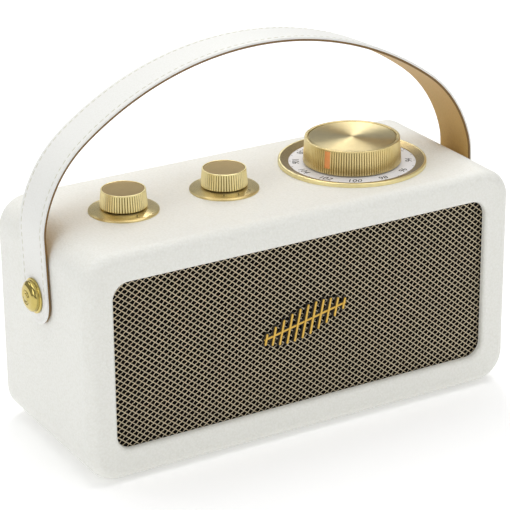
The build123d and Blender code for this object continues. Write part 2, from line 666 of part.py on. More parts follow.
PANEL_SCREW_RADIUS = 1.6
PANEL_SCREW_HEAD = 3.2
AERIAL_Z = PANEL_Z + 31.5
AERIAL_HUB_X = 84.0
AERIAL_Y = REAR + AERIAL_DEPTH / 2
HUB_RADIUS = 5.5
HUB_PIN_RADIUS = 2.5
AERIAL_BUSH_RADIUS = 4.5
ELBOW_PIN_RADIUS = 1.0
KNUCKLE_THICKNESS = 3.0
TUBE_START = 7.4          # from the elbow pin to the tube's near end
TUBE_LENGTH = 108.0
TUBE_RADIUS = 3.0
MIDDLE_TUBE_RADIUS = 2.3
TIP_RADIUS = 1.6
BUTTON_RADIUS = 2.6
BUTTON_LENGTH = 5.0


def back_panel():
    """The screwed-on moulded panel, with a recess for the port plate."""
    panel = rounded_slab(PANEL_WIDTH - 0.4, PANEL_HEIGHT - 0.4, PANEL_RADIUS - 0.2,
                         PANEL_INNER, PANEL_FACE, PANEL_Z)
    panel -= rounded_slab(PORT_PLATE[0], PORT_PLATE[1], 3.0, PANEL_FACE - PORT_PLATE_THICKNESS,
                          PANEL_FACE + 1, PORT_Z, PORT_PLATE_X)
    panel -= port_cutters(PANEL_INNER - 1, PANEL_FACE)
    panel -= rod_y(AERIAL_HUB_X, AERIAL_Z, PANEL_INNER - 1, PANEL_FACE + 1, AERIAL_BUSH_RADIUS)
    for x, z in panel_screw_places():
        panel -= rod_y(x, z, PANEL_INNER - 1, PANEL_FACE + 1, PANEL_SCREW_RADIUS)
        panel -= rod_y(x, z, PANEL_FACE - 1.6, PANEL_FACE + 1, PANEL_SCREW_HEAD)
    return panel


def panel_screw_places():
    for x in PANEL_SCREW_XS:
        for z in (PANEL_Z - PANEL_SCREW_Z, PANEL_Z + PANEL_SCREW_Z):
            yield x, z


def back_panel_screws():
    """Six countersunk cross-head screws through the panel into the wooden ledge."""
    screws = []
    for x, z in panel_screw_places():
        screw = rod_y(x, z, PANEL_INNER - PANEL_LEDGE, PANEL_FACE - 1.6, PANEL_SCREW_RADIUS)
        screw += rod_y(x, z, PANEL_FACE - 1.6, PANEL_FACE - 0.1, PANEL_SCREW_HEAD)
        for size in ((1.9, 0.4), (0.4, 1.9)):
            screw -= box((x - size[0], x + size[0]), (PANEL_FACE - 0.8, PANEL_FACE),
                         (z - size[1], z + size[1]))
        screws.append(screw)
    return Compound(children=screws)


def aerial_bush():
    """The bearing in the back panel that the aerial's hub turns in."""
    bush = rod_y(AERIAL_HUB_X, AERIAL_Z, PANEL_INNER - 3, PANEL_FACE, AERIAL_BUSH_RADIUS)
    bush += rod_y(AERIAL_HUB_X, AERIAL_Z, PANEL_FACE, PANEL_FACE + 0.8, AERIAL_BUSH_RADIUS + 2.5)
    return bush - rod_y(AERIAL_HUB_X, AERIAL_Z, PANEL_INNER - 4, REAR, HUB_PIN_RADIUS + RUNNING_GAP)


def aerial_rest():
    """The small bracket that the folded aerial lies on."""
    x_low = AERIAL_HUB_X - TUBE_START - TUBE_LENGTH + 8
    foot = box((x_low, x_low + 10), (PANEL_FACE, AERIAL_Y + 1.5),
               (AERIAL_Z - TUBE_RADIUS - 2.3, AERIAL_Z - TUBE_RADIUS - 0.3))
    return foot + box((x_low, x_low + 10), (PANEL_FACE, PANEL_FACE + 1.0),
                      (AERIAL_Z - TUBE_RADIUS - 6, AERIAL_Z - TUBE_RADIUS - 0.3))


def aerial_hub():
    """The turning fork: a pin in the bush and a slotted head for the elbow."""
    head_front = REAR + 0.1
    hub = rod_y(AERIAL_HUB_X, AERIAL_Z, head_front, REAR + AERIAL_DEPTH, HUB_RADIUS)
    hub += rod_y(AERIAL_HUB_X, AERIAL_Z, PANEL_INNER - 4.2, head_front, HUB_PIN_RADIUS)
    hub += rod_y(AERIAL_HUB_X, AERIAL_Z, PANEL_INNER - 4.2, PANEL_INNER - 3.1, HUB_PIN_RADIUS + 1.5)
    half = KNUCKLE_THICKNESS / 2 + RUNNING_GAP
    slot = box((AERIAL_HUB_X - 8, AERIAL_HUB_X + 3.4), (head_front + 0.5, REAR + AERIAL_DEPTH + 1),
               (AERIAL_Z - half, AERIAL_Z + half))
    return hub - slot - elbow_rod(ELBOW_PIN_RADIUS, HUB_RADIUS)


def elbow_rod(radius, half_length):
    return post(AERIAL_HUB_X, AERIAL_Y, AERIAL_Z - half_length, AERIAL_Z + half_length, radius)


def aerial_elbow_pin():
    return elbow_rod(ELBOW_PIN_RADIUS, 4.2)


def tube_section(x_high, x_low, radius, bore):
    """A length of round tube along the folded aerial."""
    tube = rod_x(AERIAL_Y, AERIAL_Z, x_low, x_high, radius)
    return tube - rod_x(AERIAL_Y, AERIAL_Z, x_low - 1, x_high - 3, bore)


def aerial_tube():
    """The widest section with the flat knuckle that hinges in the hub."""
    x_high = AERIAL_HUB_X - TUBE_START
    tube = tube_section(x_high, x_high - TUBE_LENGTH, TUBE_RADIUS, MIDDLE_TUBE_RADIUS + RUNNING_GAP)
    knuckle = post(AERIAL_HUB_X, AERIAL_Y, AERIAL_Z - KNUCKLE_THICKNESS / 2,
                   AERIAL_Z + KNUCKLE_THICKNESS / 2, 2.8)
    knuckle += box((x_high - 1, AERIAL_HUB_X), (AERIAL_Y - 2.2, AERIAL_Y + 2.2),
                   (AERIAL_Z - KNUCKLE_THICKNESS / 2, AERIAL_Z + KNUCKLE_THICKNESS / 2))
    return tube + knuckle - elbow_rod(ELBOW_PIN_RADIUS + RUNNING_GAP, 5)


def aerial_middle_section():
    x_high = AERIAL_HUB_X - TUBE_START - 4
    x_low = AERIAL_HUB_X - TUBE_START - TUBE_LENGTH - 1
    return tube_section(x_high, x_low, MIDDLE_TUBE_RADIUS, TIP_RADIUS + RUNNING_GAP)


def aerial_tip_section():
    """The thinnest rod and the button that it is pulled out by."""
    x_high = AERIAL_HUB_X - TUBE_START - 8
    x_low = AERIAL_HUB_X - TUBE_START - TUBE_LENGTH - 2
    rod = rod_x(AERIAL_Y, AERIAL_Z, x_low - 1, x_high, TIP_RADIUS)
    button = rod_x(AERIAL_Y, AERIAL_Z, x_low - BUTTON_LENGTH, x_low, BUTTON_RADIUS)
    return rod + fillet(button.edges().sort_by(Axis.X)[0], 1.2)


# ---- Feet ---------------------------------------------------------------------------------

FOOT_RADIUS = 7.0
FOOT_PIN_RADIUS = 2.5
FOOT_PIN_LENGTH = 4.0
FOOT_INSET_X = 26.0
FOOT_INSET_Y = 18.0


def foot_places():
    for x in (-SIDE + FOOT_INSET_X, SIDE - FOOT_INSET_X):
        for y in (FRONT + FOOT_INSET_Y, REAR - FOOT_INSET_Y):
            yield x, y


def rubber_feet():
    """Four rubber feet, each with a stem pushed into the cabinet floor."""
    feet = []
    for x, y in foot_places():
        pad = post(x, y, 0, BASE, FOOT_RADIUS)
        feet.append(pad + post(x, y, BASE, BASE + LEATHER + FOOT_PIN_LENGTH, FOOT_PIN_RADIUS))
    return Compound(children=feet)


# ---- Strap handle -------------------------------------------------------------------------

STRAP_FACE = STRAP_LINING + STRAP_LEATHER
STUD_SEAT = STRAP_X + STRAP_FACE + 0.1


def leg_points(offset):
    """The middle and end of each arc of the strap's right leg, out to offset from its inner face,
    and last the top of the crown that joins the two legs."""
    x, z, heading = STRAP_X, STUD_Z + STRAIGHT_LEG, 0.0
    for radius, turn in LEG_ARCS:
        inward = math.copysign(radius, turn)
        centre_x = x - inward * math.cos(heading)
        centre_z = z - inward * math.sin(heading)
        for angle in (heading + math.radians(turn) / 2, heading + math.radians(turn)):
            yield (centre_x + (inward + offset) * math.cos(angle),
                   centre_z + (inward + offset) * math.sin(angle))
        heading += math.radians(turn)
        x = centre_x + inward * math.cos(heading)
        z = centre_z + inward * math.sin(heading)
    yield 0, z - x * math.tan(heading) + x / math.cos(heading) + offset


def arch_region(offset):
    """Everything under the strap's arch, out to offset from the lining's inner face."""
    side = STRAP_X + offset
    low_z = STUD_Z - TAB_LENGTH
    right = [(side, STUD_Z + STRAIGHT_LEG)] + list(leg_points(offset))
    left = [(-x, z) for x, z in reversed(right[:-1])]
    arch = [(x, 0, z) for x, z in right + left]
    edges = [Line((side, 0, low_z), arch[0])]
    for index in range(0, len(arch) - 1, 2):
        edges.append(ThreePointArc(*arch[index:index + 3]))
    edges.append(Line(arch[-1], (-side, 0, low_z)))
    edges.append(Line((-side, 0, low_z), (side, 0, low_z)))
    return make_face(Wire(edges))


def strap_layer(inner, outer, hole_radius):
    """One layer of the strap between two offsets, with round ends and stud holes, leaning back."""
    region = arch_region(outer) - arch_region(inner)
    layer = Pos(0, MIDDLE, 0) * extrude(region, STRAP_WIDTH / 2, both=True)
    end_z = STUD_Z - TAB_LENGTH + STRAP_WIDTH / 2
    round_end = rod_x(MIDDLE, end_z, -SIDE - 20, SIDE + 20, STRAP_WIDTH / 2)
    square_end = box((-SIDE - 20, SIDE + 20), (MIDDLE - STRAP_WIDTH, MIDDLE + STRAP_WIDTH),
                     (STUD_Z - TAB_LENGTH - 5, end_z))
    layer -= square_end - round_end
    layer -= rod_x(MIDDLE, STUD_Z, -SIDE - 20, SIDE + 20, hole_radius)
    return layer.rotate(Axis((0, MIDDLE, STUD_Z), (1, 0, 0)), -HANDLE_LEAN)


def strap_lining():
    return strap_layer(0, STRAP_LINING, STUD_NECK_RADIUS + RUNNING_GAP)


def strap_leather():
    return strap_layer(STRAP_LINING, STRAP_FACE, STUD_NECK_RADIUS + RUNNING_GAP)


def handle_studs():
    """The two domed brass studs: neck, base ring, dome and a raised ring in the middle."""
    neck = rod_x(MIDDLE, STUD_Z, SIDE - LEATHER - WALL - 4, STUD_SEAT, STUD_NECK_RADIUS)
    outline = Polyline([(0, 0), (STUD_RADIUS, 0), (STUD_RADIUS, 1.0), (STUD_RADIUS - 0.5, 1.4),
                        (STUD_RADIUS - 1.2, 1.4)])
    dome = ThreePointArc((STUD_RADIUS - 1.2, 1.4), (5.6, 3.8), (3.2, 4.6))
    crown = Polyline([(3.2, 4.6), (2.6, 4.9), (2.0, 4.6), (0, 4.6), (0, 0)])
    face = make_face(Wire(outline.edges() + dome.edges() + crown.edges()))
    head = revolve(Plane.XZ * face, Axis.Z)
    stud = neck + Pos(STUD_SEAT, MIDDLE, STUD_Z) * Rot(0, 90, 0) * head
    return Compound(children=both_sides(stud))


def stud_spacers():
    """The two washers that keep the strap off the cabinet's sides."""
    washer = rod_x(MIDDLE, STUD_Z, SIDE, STRAP_X - 0.05, 8.0)
    washer -= rod_x(MIDDLE, STUD_Z, SIDE - 1, STRAP_X + 1, STUD_NECK_RADIUS)
    return Compound(children=both_sides(washer))


def stud_inserts():
    """The two flanged brass inserts in the side walls that the studs screw into."""
    wall_outer = SIDE - LEATHER
    wall_inner = wall_outer - WALL
    insert = rod_x(MIDDLE, STUD_Z, wall_inner, wall_outer, INSERT_RADIUS)
    insert += rod_x(MIDDLE, STUD_Z, wall_inner - 1.2, wall_inner, INSERT_RADIUS + 3)
    insert -= rod_x(MIDDLE, STUD_Z, wall_inner - 2, wall_outer + 1, STUD_NECK_RADIUS)
    return Compound(children=both_sides(insert))


# ---- Write one file for each piece --------------------------------------------------------

SMALL_SHAFT_TOP = TOP + SMALL_KNOB_HEIGHT - 2.0
TUNING_SHAFT_TOP = TOP + TUNING_KNOB_HEIGHT - 3.0

PIECES = {
    "leather_cover": leather_cover(),
    "cabinet_shell": cabinet_shell(),
    "front_baffle": front_baffle(),
    "grille_mesh": grille_mesh(),
    "grille_frame": grille_frame(),
    "grille_cloth": grille_window(MESH_BACK, BAFFLE_FRONT),
    "front_badge": front_badge(),
    "speaker_gasket": speaker_gasket(),
    "speaker_basket": speaker_basket(),
    "speaker_magnet": speaker_magnet(),
    "speaker_yoke": speaker_yoke(),
    "speaker_screws": speaker_screws(),
    "speaker_surround": speaker_surround(),
    "speaker_spider": speaker_spider(),
    "speaker_cone": speaker_cone(),
    "voice_coil": voice_coil(),
    "dust_cap": dust_cap(),
    "volume_control": control_body(VOLUME_X, 8.5, CONTROL_BODY),
    "mode_switch": control_body(MODE_X, 9.5, CONTROL_BODY),
    "tuning_control": control_body(TUNING_X, 11.0, TUNING_BODY),
    "control_nuts": control_nuts(),
    "volume_bezel": small_bezel(VOLUME_X),
    "mode_bezel": small_bezel(MODE_X),
    "tuning_bezel": tuning_bezel(),
    "tuning_dial": tuning_dial(),
    "volume_shaft": shaft(VOLUME_X, CONTROL_BODY, SMALL_SHAFT_TOP),
    "volume_knob": small_knob(VOLUME_X),
    "mode_shaft": shaft(MODE_X, CONTROL_BODY, SMALL_SHAFT_TOP),
    "mode_knob": small_knob(MODE_X),
    "tuning_shaft": shaft(TUNING_X, TUNING_BODY, TUNING_SHAFT_TOP),
    "tuning_knob": tuning_knob(),
    "tuning_knob_cap": tuning_knob_cap(),
    "tuning_pointer": tuning_pointer(),
    "main_board": main_board(),
    "board_components": board_components(),
    "board_standoffs": board_standoffs(),
    "board_screws": board_screws(),
    "battery_holder": battery_holder(),
    "battery_cells": battery_cells(),
    "charge_port": charge_port(),
    "aux_jack": aux_jack(),
    "charge_light": charge_light(),
    "port_plate": port_plate(),
    "back_panel": back_panel(),
    "back_panel_screws": back_panel_screws(),
    "aerial_bush": aerial_bush(),
    "aerial_rest": aerial_rest(),
    "aerial_hub": aerial_hub(),
    "aerial_elbow_pin": aerial_elbow_pin(),
    "aerial_tube": aerial_tube(),
    "aerial_middle_section": aerial_middle_section(),
    "aerial_tip_section": aerial_tip_section(),
    "rubber_feet": rubber_feet(),
    "strap_leather": strap_leather(),
    "strap_lining": strap_lining(),
    "handle_studs": handle_studs(),
    "stud_spacers": stud_spacers(),
    "stud_inserts": stud_inserts(),
}

os.makedirs("parts", exist_ok=True)
for name, piece in PIECES.items():
    export_step(piece, f"parts/{name}.step")
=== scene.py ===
import json
import math

import bmesh
import bpy
from mathutils import Matrix, Vector


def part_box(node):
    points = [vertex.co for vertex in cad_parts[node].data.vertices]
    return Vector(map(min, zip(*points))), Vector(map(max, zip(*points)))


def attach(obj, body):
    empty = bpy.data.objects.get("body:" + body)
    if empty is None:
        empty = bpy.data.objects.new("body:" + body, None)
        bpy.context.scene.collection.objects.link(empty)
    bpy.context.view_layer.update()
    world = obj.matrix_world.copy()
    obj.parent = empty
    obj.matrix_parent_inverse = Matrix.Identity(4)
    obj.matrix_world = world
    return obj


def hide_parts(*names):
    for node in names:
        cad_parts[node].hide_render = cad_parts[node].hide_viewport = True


# The looks of the leather portable radio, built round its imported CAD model.
#
# The helpers below take millimetres in the CAD model's frame (+X to the radio's right seen
# from its front, the front faces -Y, +Z up) and scale to metres when a mesh is made.

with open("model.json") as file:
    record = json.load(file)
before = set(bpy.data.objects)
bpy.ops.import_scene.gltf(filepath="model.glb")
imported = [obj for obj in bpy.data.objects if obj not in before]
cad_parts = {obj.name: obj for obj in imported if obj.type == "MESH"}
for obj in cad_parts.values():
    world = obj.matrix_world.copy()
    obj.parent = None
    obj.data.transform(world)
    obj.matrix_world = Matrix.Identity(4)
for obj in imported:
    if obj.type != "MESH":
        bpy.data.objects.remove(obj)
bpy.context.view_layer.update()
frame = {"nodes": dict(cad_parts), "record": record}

MM = 0.001
FULL_TURN = 2 * math.pi


def node_box(node):
    """Lowest and highest corner of a CAD node, in millimetres."""
    low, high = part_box(node)
    return low / MM, high / MM


# ---- Sizes read from the frame ------------------------------------------------------------

COVER_LOW, COVER_HIGH = node_box("leather_cover")
FRONT = COVER_LOW.y
REAR = COVER_HIGH.y
TOP = COVER_HIGH.z
MIDDLE = (FRONT + REAR) / 2
SIDE = COVER_HIGH.x
MESH_LOW, MESH_HIGH = node_box("grille_mesh")
GRILLE_Z = (MESH_LOW.z + MESH_HIGH.z) / 2
STUD_LOW, STUD_HIGH = node_box("handle_studs")
STUD_Z = (STUD_LOW.z + STUD_HIGH.z) / 2
STUD_RADIUS = (STUD_HIGH.z - STUD_LOW.z) / 2
DIAL_LOW, DIAL_HIGH = node_box("tuning_dial")
DIAL_TOP = DIAL_HIGH.z
TUNING_X = (DIAL_LOW.x + DIAL_HIGH.x) / 2


def control_x(control):
    """Where a small knob stands across the radio: the middle of its flange."""
    low, high = node_box(control + "_bezel")
    return (low.x + high.x) / 2


# ---- Mesh helpers -------------------------------------------------------------------------


def make_piece(name, vertices, faces, materials, body, face_materials=None):
    """A smooth mesh piece on a body, from vertices in millimetres."""
    mesh = bpy.data.meshes.new(name)
    mesh.from_pydata([Vector(v) * MM for v in vertices], [], faces)
    for material in materials:
        mesh.materials.append(material)
    if face_materials:
        mesh.polygons.foreach_set("material_index", face_materials)
    work = bmesh.new()
    work.from_mesh(mesh)
    bmesh.ops.remove_doubles(work, verts=work.verts, dist=1e-7)
    bmesh.ops.recalc_face_normals(work, faces=work.faces)
    work.to_mesh(mesh)
    work.free()
    mesh.shade_smooth()
    mesh.set_sharp_from_angle(angle=math.radians(35))
    piece = bpy.data.objects.new(name, mesh)
    bpy.context.scene.collection.objects.link(piece)
    weighted = piece.modifiers.new("even_normals", "WEIGHTED_NORMAL")
    weighted.keep_sharp = True
    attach(piece, body)
    return piece


def rounded(points, steps=5):
    """A chain of (a, b, radius) points with each corner rounded by its radius."""
    chain = [points[0][:2]]
    for before, corner, after in zip(points, points[1:], points[2:]):
        here = Vector(corner[:2])
        back = Vector(before[:2]) - here
        ahead = Vector(after[:2]) - here
        turn = math.pi - back.angle(ahead, math.pi)
        reach = corner[2] * math.tan(turn / 2)
        reach = min(reach, 0.48 * back.length, 0.48 * ahead.length)
        if reach < 1e-4:
            chain.append(tuple(here))
            continue
        start = here + back.normalized() * reach
        end = here + ahead.normalized() * reach
        for step in range(steps + 1):
            share = step / steps
            point = start.lerp(here, share).lerp(here.lerp(end, share), share)
            chain.append(tuple(point))
    chain.append(points[-1][:2])
    return chain


def plain_ring(steps):
    """Evenly spaced (angle, groove depth share) pairs round a turned piece."""
    return [(FULL_TURN * step / steps, 0.0) for step in range(steps)]


def fluted_ring(count, cut):
    """(angle, groove depth share) pairs for count grooves, each shaped by cut."""
    return [(FULL_TURN * (index + share) / count, depth) for index in range(count) for share, depth in cut]


def turned(name, profile, ring, centre, materials, body, groove=None, axis="Z", finish=None):
    """A turned piece from a (radius, height) profile; groove(radius, height) gives flute depth.

    Fluted bottoms take the second material, painted shade in the grooves; elsewhere the last argument,
    called with (radius, height), gives the material index, which picks the faces for painted shade.
    """
    vertices = []
    rows = []
    for radius, height in profile:
        if radius < 1e-6:
            rows.append([len(vertices)] * len(ring))
            vertices.append((0.0, 0.0, height))
            continue
        rows.append(range(len(vertices), len(vertices) + len(ring)))
        deep = groove(radius, height) if groove else 0.0
        for angle, share in ring:
            reach = radius - deep * share
            vertices.append((reach * math.cos(angle), reach * math.sin(angle), height))
    faces = []
    kinds = []
    for level, (lower, upper) in enumerate(zip(rows, rows[1:])):
        cut = groove and groove(*profile[level]) > 0 and groove(*profile[level + 1]) > 0
        mid_radius = (profile[level][0] + profile[level + 1][0]) / 2
        mid_height = (profile[level][1] + profile[level + 1][1]) / 2
        plain = finish(mid_radius, mid_height) if finish else 0
        for index in range(len(ring)):
            following = (index + 1) % len(ring)
            corners = [lower[index], lower[following], upper[following], upper[index]]
            corners = list(dict.fromkeys(corners))
            if len(corners) > 2:
                faces.append(corners)
                deep = ring[index][1] + ring[following][1] > 1.3
                kinds.append(1 if cut and deep else plain)
    if axis == "X":
        vertices = [(z, -y, x) for x, y, z in vertices]
    if axis == "-X":
        vertices = [(-z, y, x) for x, y, z in vertices]
    placed = [Vector(v) + Vector(centre) for v in vertices]
    return make_piece(name, placed, faces, materials, body, kinds)


def tube(points, across, radius, sides):
    """Vertices and faces of a round tube; across(index) gives its two cross directions."""
    vertices = []
    faces = []
    for index, point in enumerate(points):
        first, second = across(index)
        for side in range(sides):
            angle = FULL_TURN * side / sides
            offset = first * (radius * math.cos(angle)) + second * (radius * math.sin(angle))
            vertices.append(point + offset)
    for index in range(len(points) - 1):
        for side in range(sides):
            a = index * sides + side
            b = index * sides + (side + 1) % sides
            faces.append((a, b, b + sides, a + sides))
    faces.append(tuple(range(sides)))
    faces.append(tuple(range(len(vertices) - sides, len(vertices))))
    return vertices, faces


class Mesh:
    """Collects the vertices and faces of one piece."""

    def __init__(self):
        self.vertices = []
        self.faces = []
        self.materials = []

    def add(self, vertices, faces, material=0):
        start = len(self.vertices)
        self.vertices += vertices
        self.faces += [tuple(start + v for v in face) for face in faces]
        self.materials += [material] * len(faces)


# ---- Materials ----------------------------------------------------------------------------


def linear(red, green, blue):
    """The shader's value of a colour that is given as 0-255 display values."""
    return tuple((v / 255) ** 2.2 for v in (red, green, blue))


def shader_of(material):
    """The material's own shader node."""
    return material.node_tree.nodes["Principled BSDF"]


def node(material, kind, **inputs):
    """A new node, with its named inputs set."""
    made = material.node_tree.nodes.new(kind)
    for name, value in inputs.items():
        made.inputs[name.replace("_", " ")].default_value = value
    return made


def texture_place(material, stretch=(1, 1, 1)):
    """Object coordinates, stretched, to place a texture by."""
    place = node(material, "ShaderNodeTexCoord")
    mapping = node(material, "ShaderNodeMapping", Scale=stretch)
    material.node_tree.links.new(place.outputs["Object"], mapping.inputs["Vector"])
    return mapping.outputs["Vector"]


def noise(material, place, size, detail=3.0, roughness=0.5):
    """Noise whose blotches are about size millimetres."""
    made = node(material, "ShaderNodeTexNoise", Scale=1 / (size * MM), Detail=detail, Roughness=roughness)
    material.node_tree.links.new(place, made.inputs["Vector"])
    return made.outputs["Fac"]


def spread(material, source, low, high):
    """The 0-1 source mapped to low-high, mostly from its middle range."""
    made = node(material, "ShaderNodeMapRange", From_Min=0.25, From_Max=0.75, To_Min=low, To_Max=high)
    material.node_tree.links.new(source, made.inputs["Value"])
    return made.outputs["Result"]


def mix_colours(material, share, first, second):
    """A colour between two, by the 0-1 share."""
    made = material.node_tree.nodes.new("ShaderNodeMix")
    made.data_type = "RGBA"
    made.inputs["A"].default_value = (*first, 1)
    made.inputs["B"].default_value = (*second, 1)
    material.node_tree.links.new(share, made.inputs["Factor"])
    return made.outputs["Result"]


def bump(material, height, depth, below=None):
    """Bump of about depth millimetres from a 0-1 height, on top of another bump."""
    made = node(material, "ShaderNodeBump", Strength=1.0, Distance=depth * MM)
    material.node_tree.links.new(height, made.inputs["Height"])
    if below is not None:
        material.node_tree.links.new(below, made.inputs["Normal"])
    return made.outputs["Normal"]


def basic_material(name, colour, roughness, metallic=0.0, vary=0.08, patch=6.0, grain=0.0,
                   grain_size=0.3, roughness_vary=0.06, stretch=(1, 1, 1)):
    """A procedural material: colour blotches, uneven gloss and a fine grain."""
    material = bpy.data.materials.new(name)
    material.use_nodes = True
    shader = shader_of(material)
    links = material.node_tree.links
    shader.inputs["Metallic"].default_value = metallic
    place = texture_place(material, stretch)
    blotches = noise(material, place, patch)
    darker = tuple(v * (1 - vary) for v in colour)
    lighter = tuple(min(1.0, v * (1 + vary)) for v in colour)
    share = spread(material, blotches, 0.0, 1.0)
    links.new(mix_colours(material, share, darker, lighter), shader.inputs["Base Color"])
    fine = noise(material, place, grain_size, detail=4.0)
    gloss = spread(material, fine, roughness - roughness_vary, roughness + roughness_vary)
    links.new(gloss, shader.inputs["Roughness"])
    if grain > 0:
        links.new(bump(material, fine, grain), shader.inputs["Normal"])
    return material


def leather(name, colour, crease_colour, pebble=1.1, depth=0.10, roughness=0.5):
    """Grained leather: rounded pebbles between fine creases, with a soft sheen."""
    material = bpy.data.materials.new(name)
    material.use_nodes = True
    shader = shader_of(material)
    links = material.node_tree.links
    place = texture_place(material)
    drift = noise(material, place, 2.5 * pebble, detail=2.0)
    shifted = material.node_tree.nodes.new("ShaderNodeMix")
    shifted.data_type = "VECTOR"
    shifted.inputs["Factor"].default_value = 0.0012
    links.new(place, shifted.inputs["A"])
    links.new(drift, shifted.inputs["B"])
    cells = node(material, "ShaderNodeTexVoronoi", Scale=1 / (pebble * MM))
    cells.feature = "SMOOTH_F1"
    cells.inputs["Smoothness"].default_value = 0.6
    links.new(shifted.outputs["Result"], cells.inputs["Vector"])
    pebbles = spread(material, cells.outputs["Distance"], 1.0, 0.0)
    creases = spread(material, cells.outputs["Distance"], 0.0, 0.35)
    links.new(mix_colours(material, creases, colour, crease_colour), shader.inputs["Base Color"])
    fine = noise(material, place, 0.25, detail=3.0)
    broad = noise(material, place, 9.0, detail=2.0)
    relief = bump(material, pebbles, depth)
    relief = bump(material, fine, 0.25 * depth, relief)
    relief = bump(material, broad, 2.2 * depth, relief)
    links.new(relief, shader.inputs["Normal"])
    gloss = spread(material, fine, roughness - 0.06, roughness + 0.08)
    links.new(gloss, shader.inputs["Roughness"])
    shader.inputs["Specular IOR Level"].default_value = 0.4
    shader.inputs["Sheen Weight"].default_value = 0.15
    shader.inputs["Sheen Roughness"].default_value = 0.5
    return material


def brass(name, colour, roughness, anisotropic=0.0, scratch=0.0, vary=0.05):
    """Turned brass; anisotropic brass is brushed in rings about the upright axis."""
    material = basic_material(name, colour, roughness, metallic=1.0, vary=vary, patch=4.0,
                              grain=scratch, grain_size=0.12, roughness_vary=0.05)
    shader = shader_of(material)
    if anisotropic > 0:
        shader.inputs["Anisotropic"].default_value = anisotropic
        tangent = material.node_tree.nodes.new("ShaderNodeTangent")
        tangent.direction_type = "RADIAL"
        shader.inputs["Anisotropic Rotation"].default_value = 0.25
        tangent.axis = "Z"
        material.node_tree.links.new(tangent.outputs["Tangent"], shader.inputs["Tangent"])
    return material


BRASS_COLOUR = linear(228, 209, 152)

LEATHER_WHITE = leather("leather_white", linear(237, 237, 231), linear(222, 221, 211))
STRAP_WHITE = leather("strap_white", linear(237, 237, 233), linear(228, 227, 220), pebble=0.8, depth=0.04)
LEATHER_TAN = leather("leather_tan", linear(208, 170, 100), linear(176, 134, 68), pebble=0.5, depth=0.05,
                      roughness=0.62)
STRAP_EDGE = basic_material("strap_edge", linear(118, 88, 42), 0.5, vary=0.2, patch=1.0, grain=0.03)
THREAD = basic_material("thread", linear(206, 204, 184), 0.7, vary=0.1, patch=0.4, grain=0.03,
                        grain_size=0.1)
BRASS_SATIN = brass("brass_satin", BRASS_COLOUR, 0.30, scratch=0.002)
BRASS_BRUSHED = brass("brass_brushed", BRASS_COLOUR, 0.30, anisotropic=0.85, scratch=0.002)
BRASS_SPUN = brass("brass_spun", linear(222, 208, 164), 0.5, anisotropic=0.95, scratch=0.002)
# Darker brass for the dial ring's inner slope: painted shade.
BRASS_SLOPE_SHADE = brass("brass_slope_painted_shade", linear(180, 158, 112), 0.30, anisotropic=0.5)
# Darker brass for the small knobs' dished tops: painted shade standing in for a dark reflection.
BRASS_TOP_SHADE = brass("brass_top_painted_shade", linear(150, 130, 88), 0.34)
# Lighter brass for the small knobs' sides and the dial ring's crest: painted light.
BRASS_PAINTED_LIGHT = brass("brass_painted_light", linear(246, 232, 176), 0.34)
# Darker brass for the flute bottoms: painted shade in the grooves.
BRASS_GROOVE_SHADE = basic_material("brass_groove_painted_shade", linear(140, 118, 66), 0.5, metallic=0.8, vary=0.15, patch=1.0)
BRASS_POLISHED = brass("brass_polished", linear(192, 174, 104), 0.10)
BRASS_WIRE = brass("brass_wire", linear(216, 203, 176), 0.34, vary=0.12)
GOLD = brass("gold", linear(206, 168, 84), 0.28)
BLACKENED = basic_material("blackened", linear(16, 11, 6), 0.9, vary=0.2, patch=0.8, grain=0.02)
shader_of(BLACKENED).inputs["Specular IOR Level"].default_value = 0.15
DARK_INK = basic_material("dark_ink", linear(38, 34, 30), 0.5)
DIAL_WHITE = basic_material("dial_white", linear(240, 240, 244), 0.35, vary=0.015, grain=0.003)
POINTER_ORANGE = basic_material("pointer_orange", linear(244, 160, 96), 0.2, vary=0.06, patch=1.5)
WOOD = basic_material("wood", linear(176, 140, 100), 0.7, vary=0.25, patch=2.0, grain=0.05,
                      stretch=(0.15, 1, 1))
DARK_CLOTH = basic_material("dark_cloth", linear(30, 25, 20), 0.95, vary=0.3, patch=0.4, grain=0.1)
STEEL = basic_material("steel", linear(190, 190, 188), 0.32, metallic=1.0, grain=0.004)
CHROME = basic_material("chrome", linear(225, 225, 225), 0.09, metallic=1.0, vary=0.02, roughness_vary=0.03)
BLACK_PLASTIC = basic_material("black_plastic", linear(36, 36, 37), 0.45, grain=0.02, grain_size=0.2)
PANEL_PLASTIC = basic_material("panel_plastic", linear(228, 224, 212), 0.5, vary=0.02, patch=12.0,
                               grain=0.03, grain_size=0.35)
CIRCUIT_BOARD = basic_material("circuit_board", linear(28, 92, 58), 0.4, vary=0.3, patch=2.5)
FERRITE = basic_material("ferrite", linear(62, 62, 64), 0.6, grain=0.03)
CONE_PAPER = basic_material("cone_paper", linear(52, 50, 48), 0.85, vary=0.2, patch=1.0, grain=0.08)
RUBBER = basic_material("rubber", linear(40, 40, 40), 0.75, grain=0.02)
BATTERY_WRAP = basic_material("battery_wrap", linear(50, 110, 168), 0.3, vary=0.04)
LIGHT_PIPE = basic_material("light_pipe", linear(226, 240, 228), 0.15, vary=0.02)

SLOT_MATERIALS = {
    "leather_white": LEATHER_WHITE,
    "leather_tan": LEATHER_TAN,
    "brass_brushed": BRASS_SATIN,
    "brass_polished": BRASS_POLISHED,
    "brass_mesh": BRASS_WIRE,
    "dial_white": DIAL_WHITE,
    "pointer_orange": POINTER_ORANGE,
    "wood": WOOD,
    "dark_cloth": DARK_CLOTH,
    "steel": STEEL,
    "chrome": CHROME,
    "black_plastic": BLACK_PLASTIC,
    "panel_plastic": PANEL_PLASTIC,
    "circuit_board": CIRCUIT_BOARD,
    "ferrite": FERRITE,
    "cone_paper": CONE_PAPER,
    "rubber": RUBBER,
    "battery_wrap": BATTERY_WRAP,
    "light_pipe": LIGHT_PIPE,
}


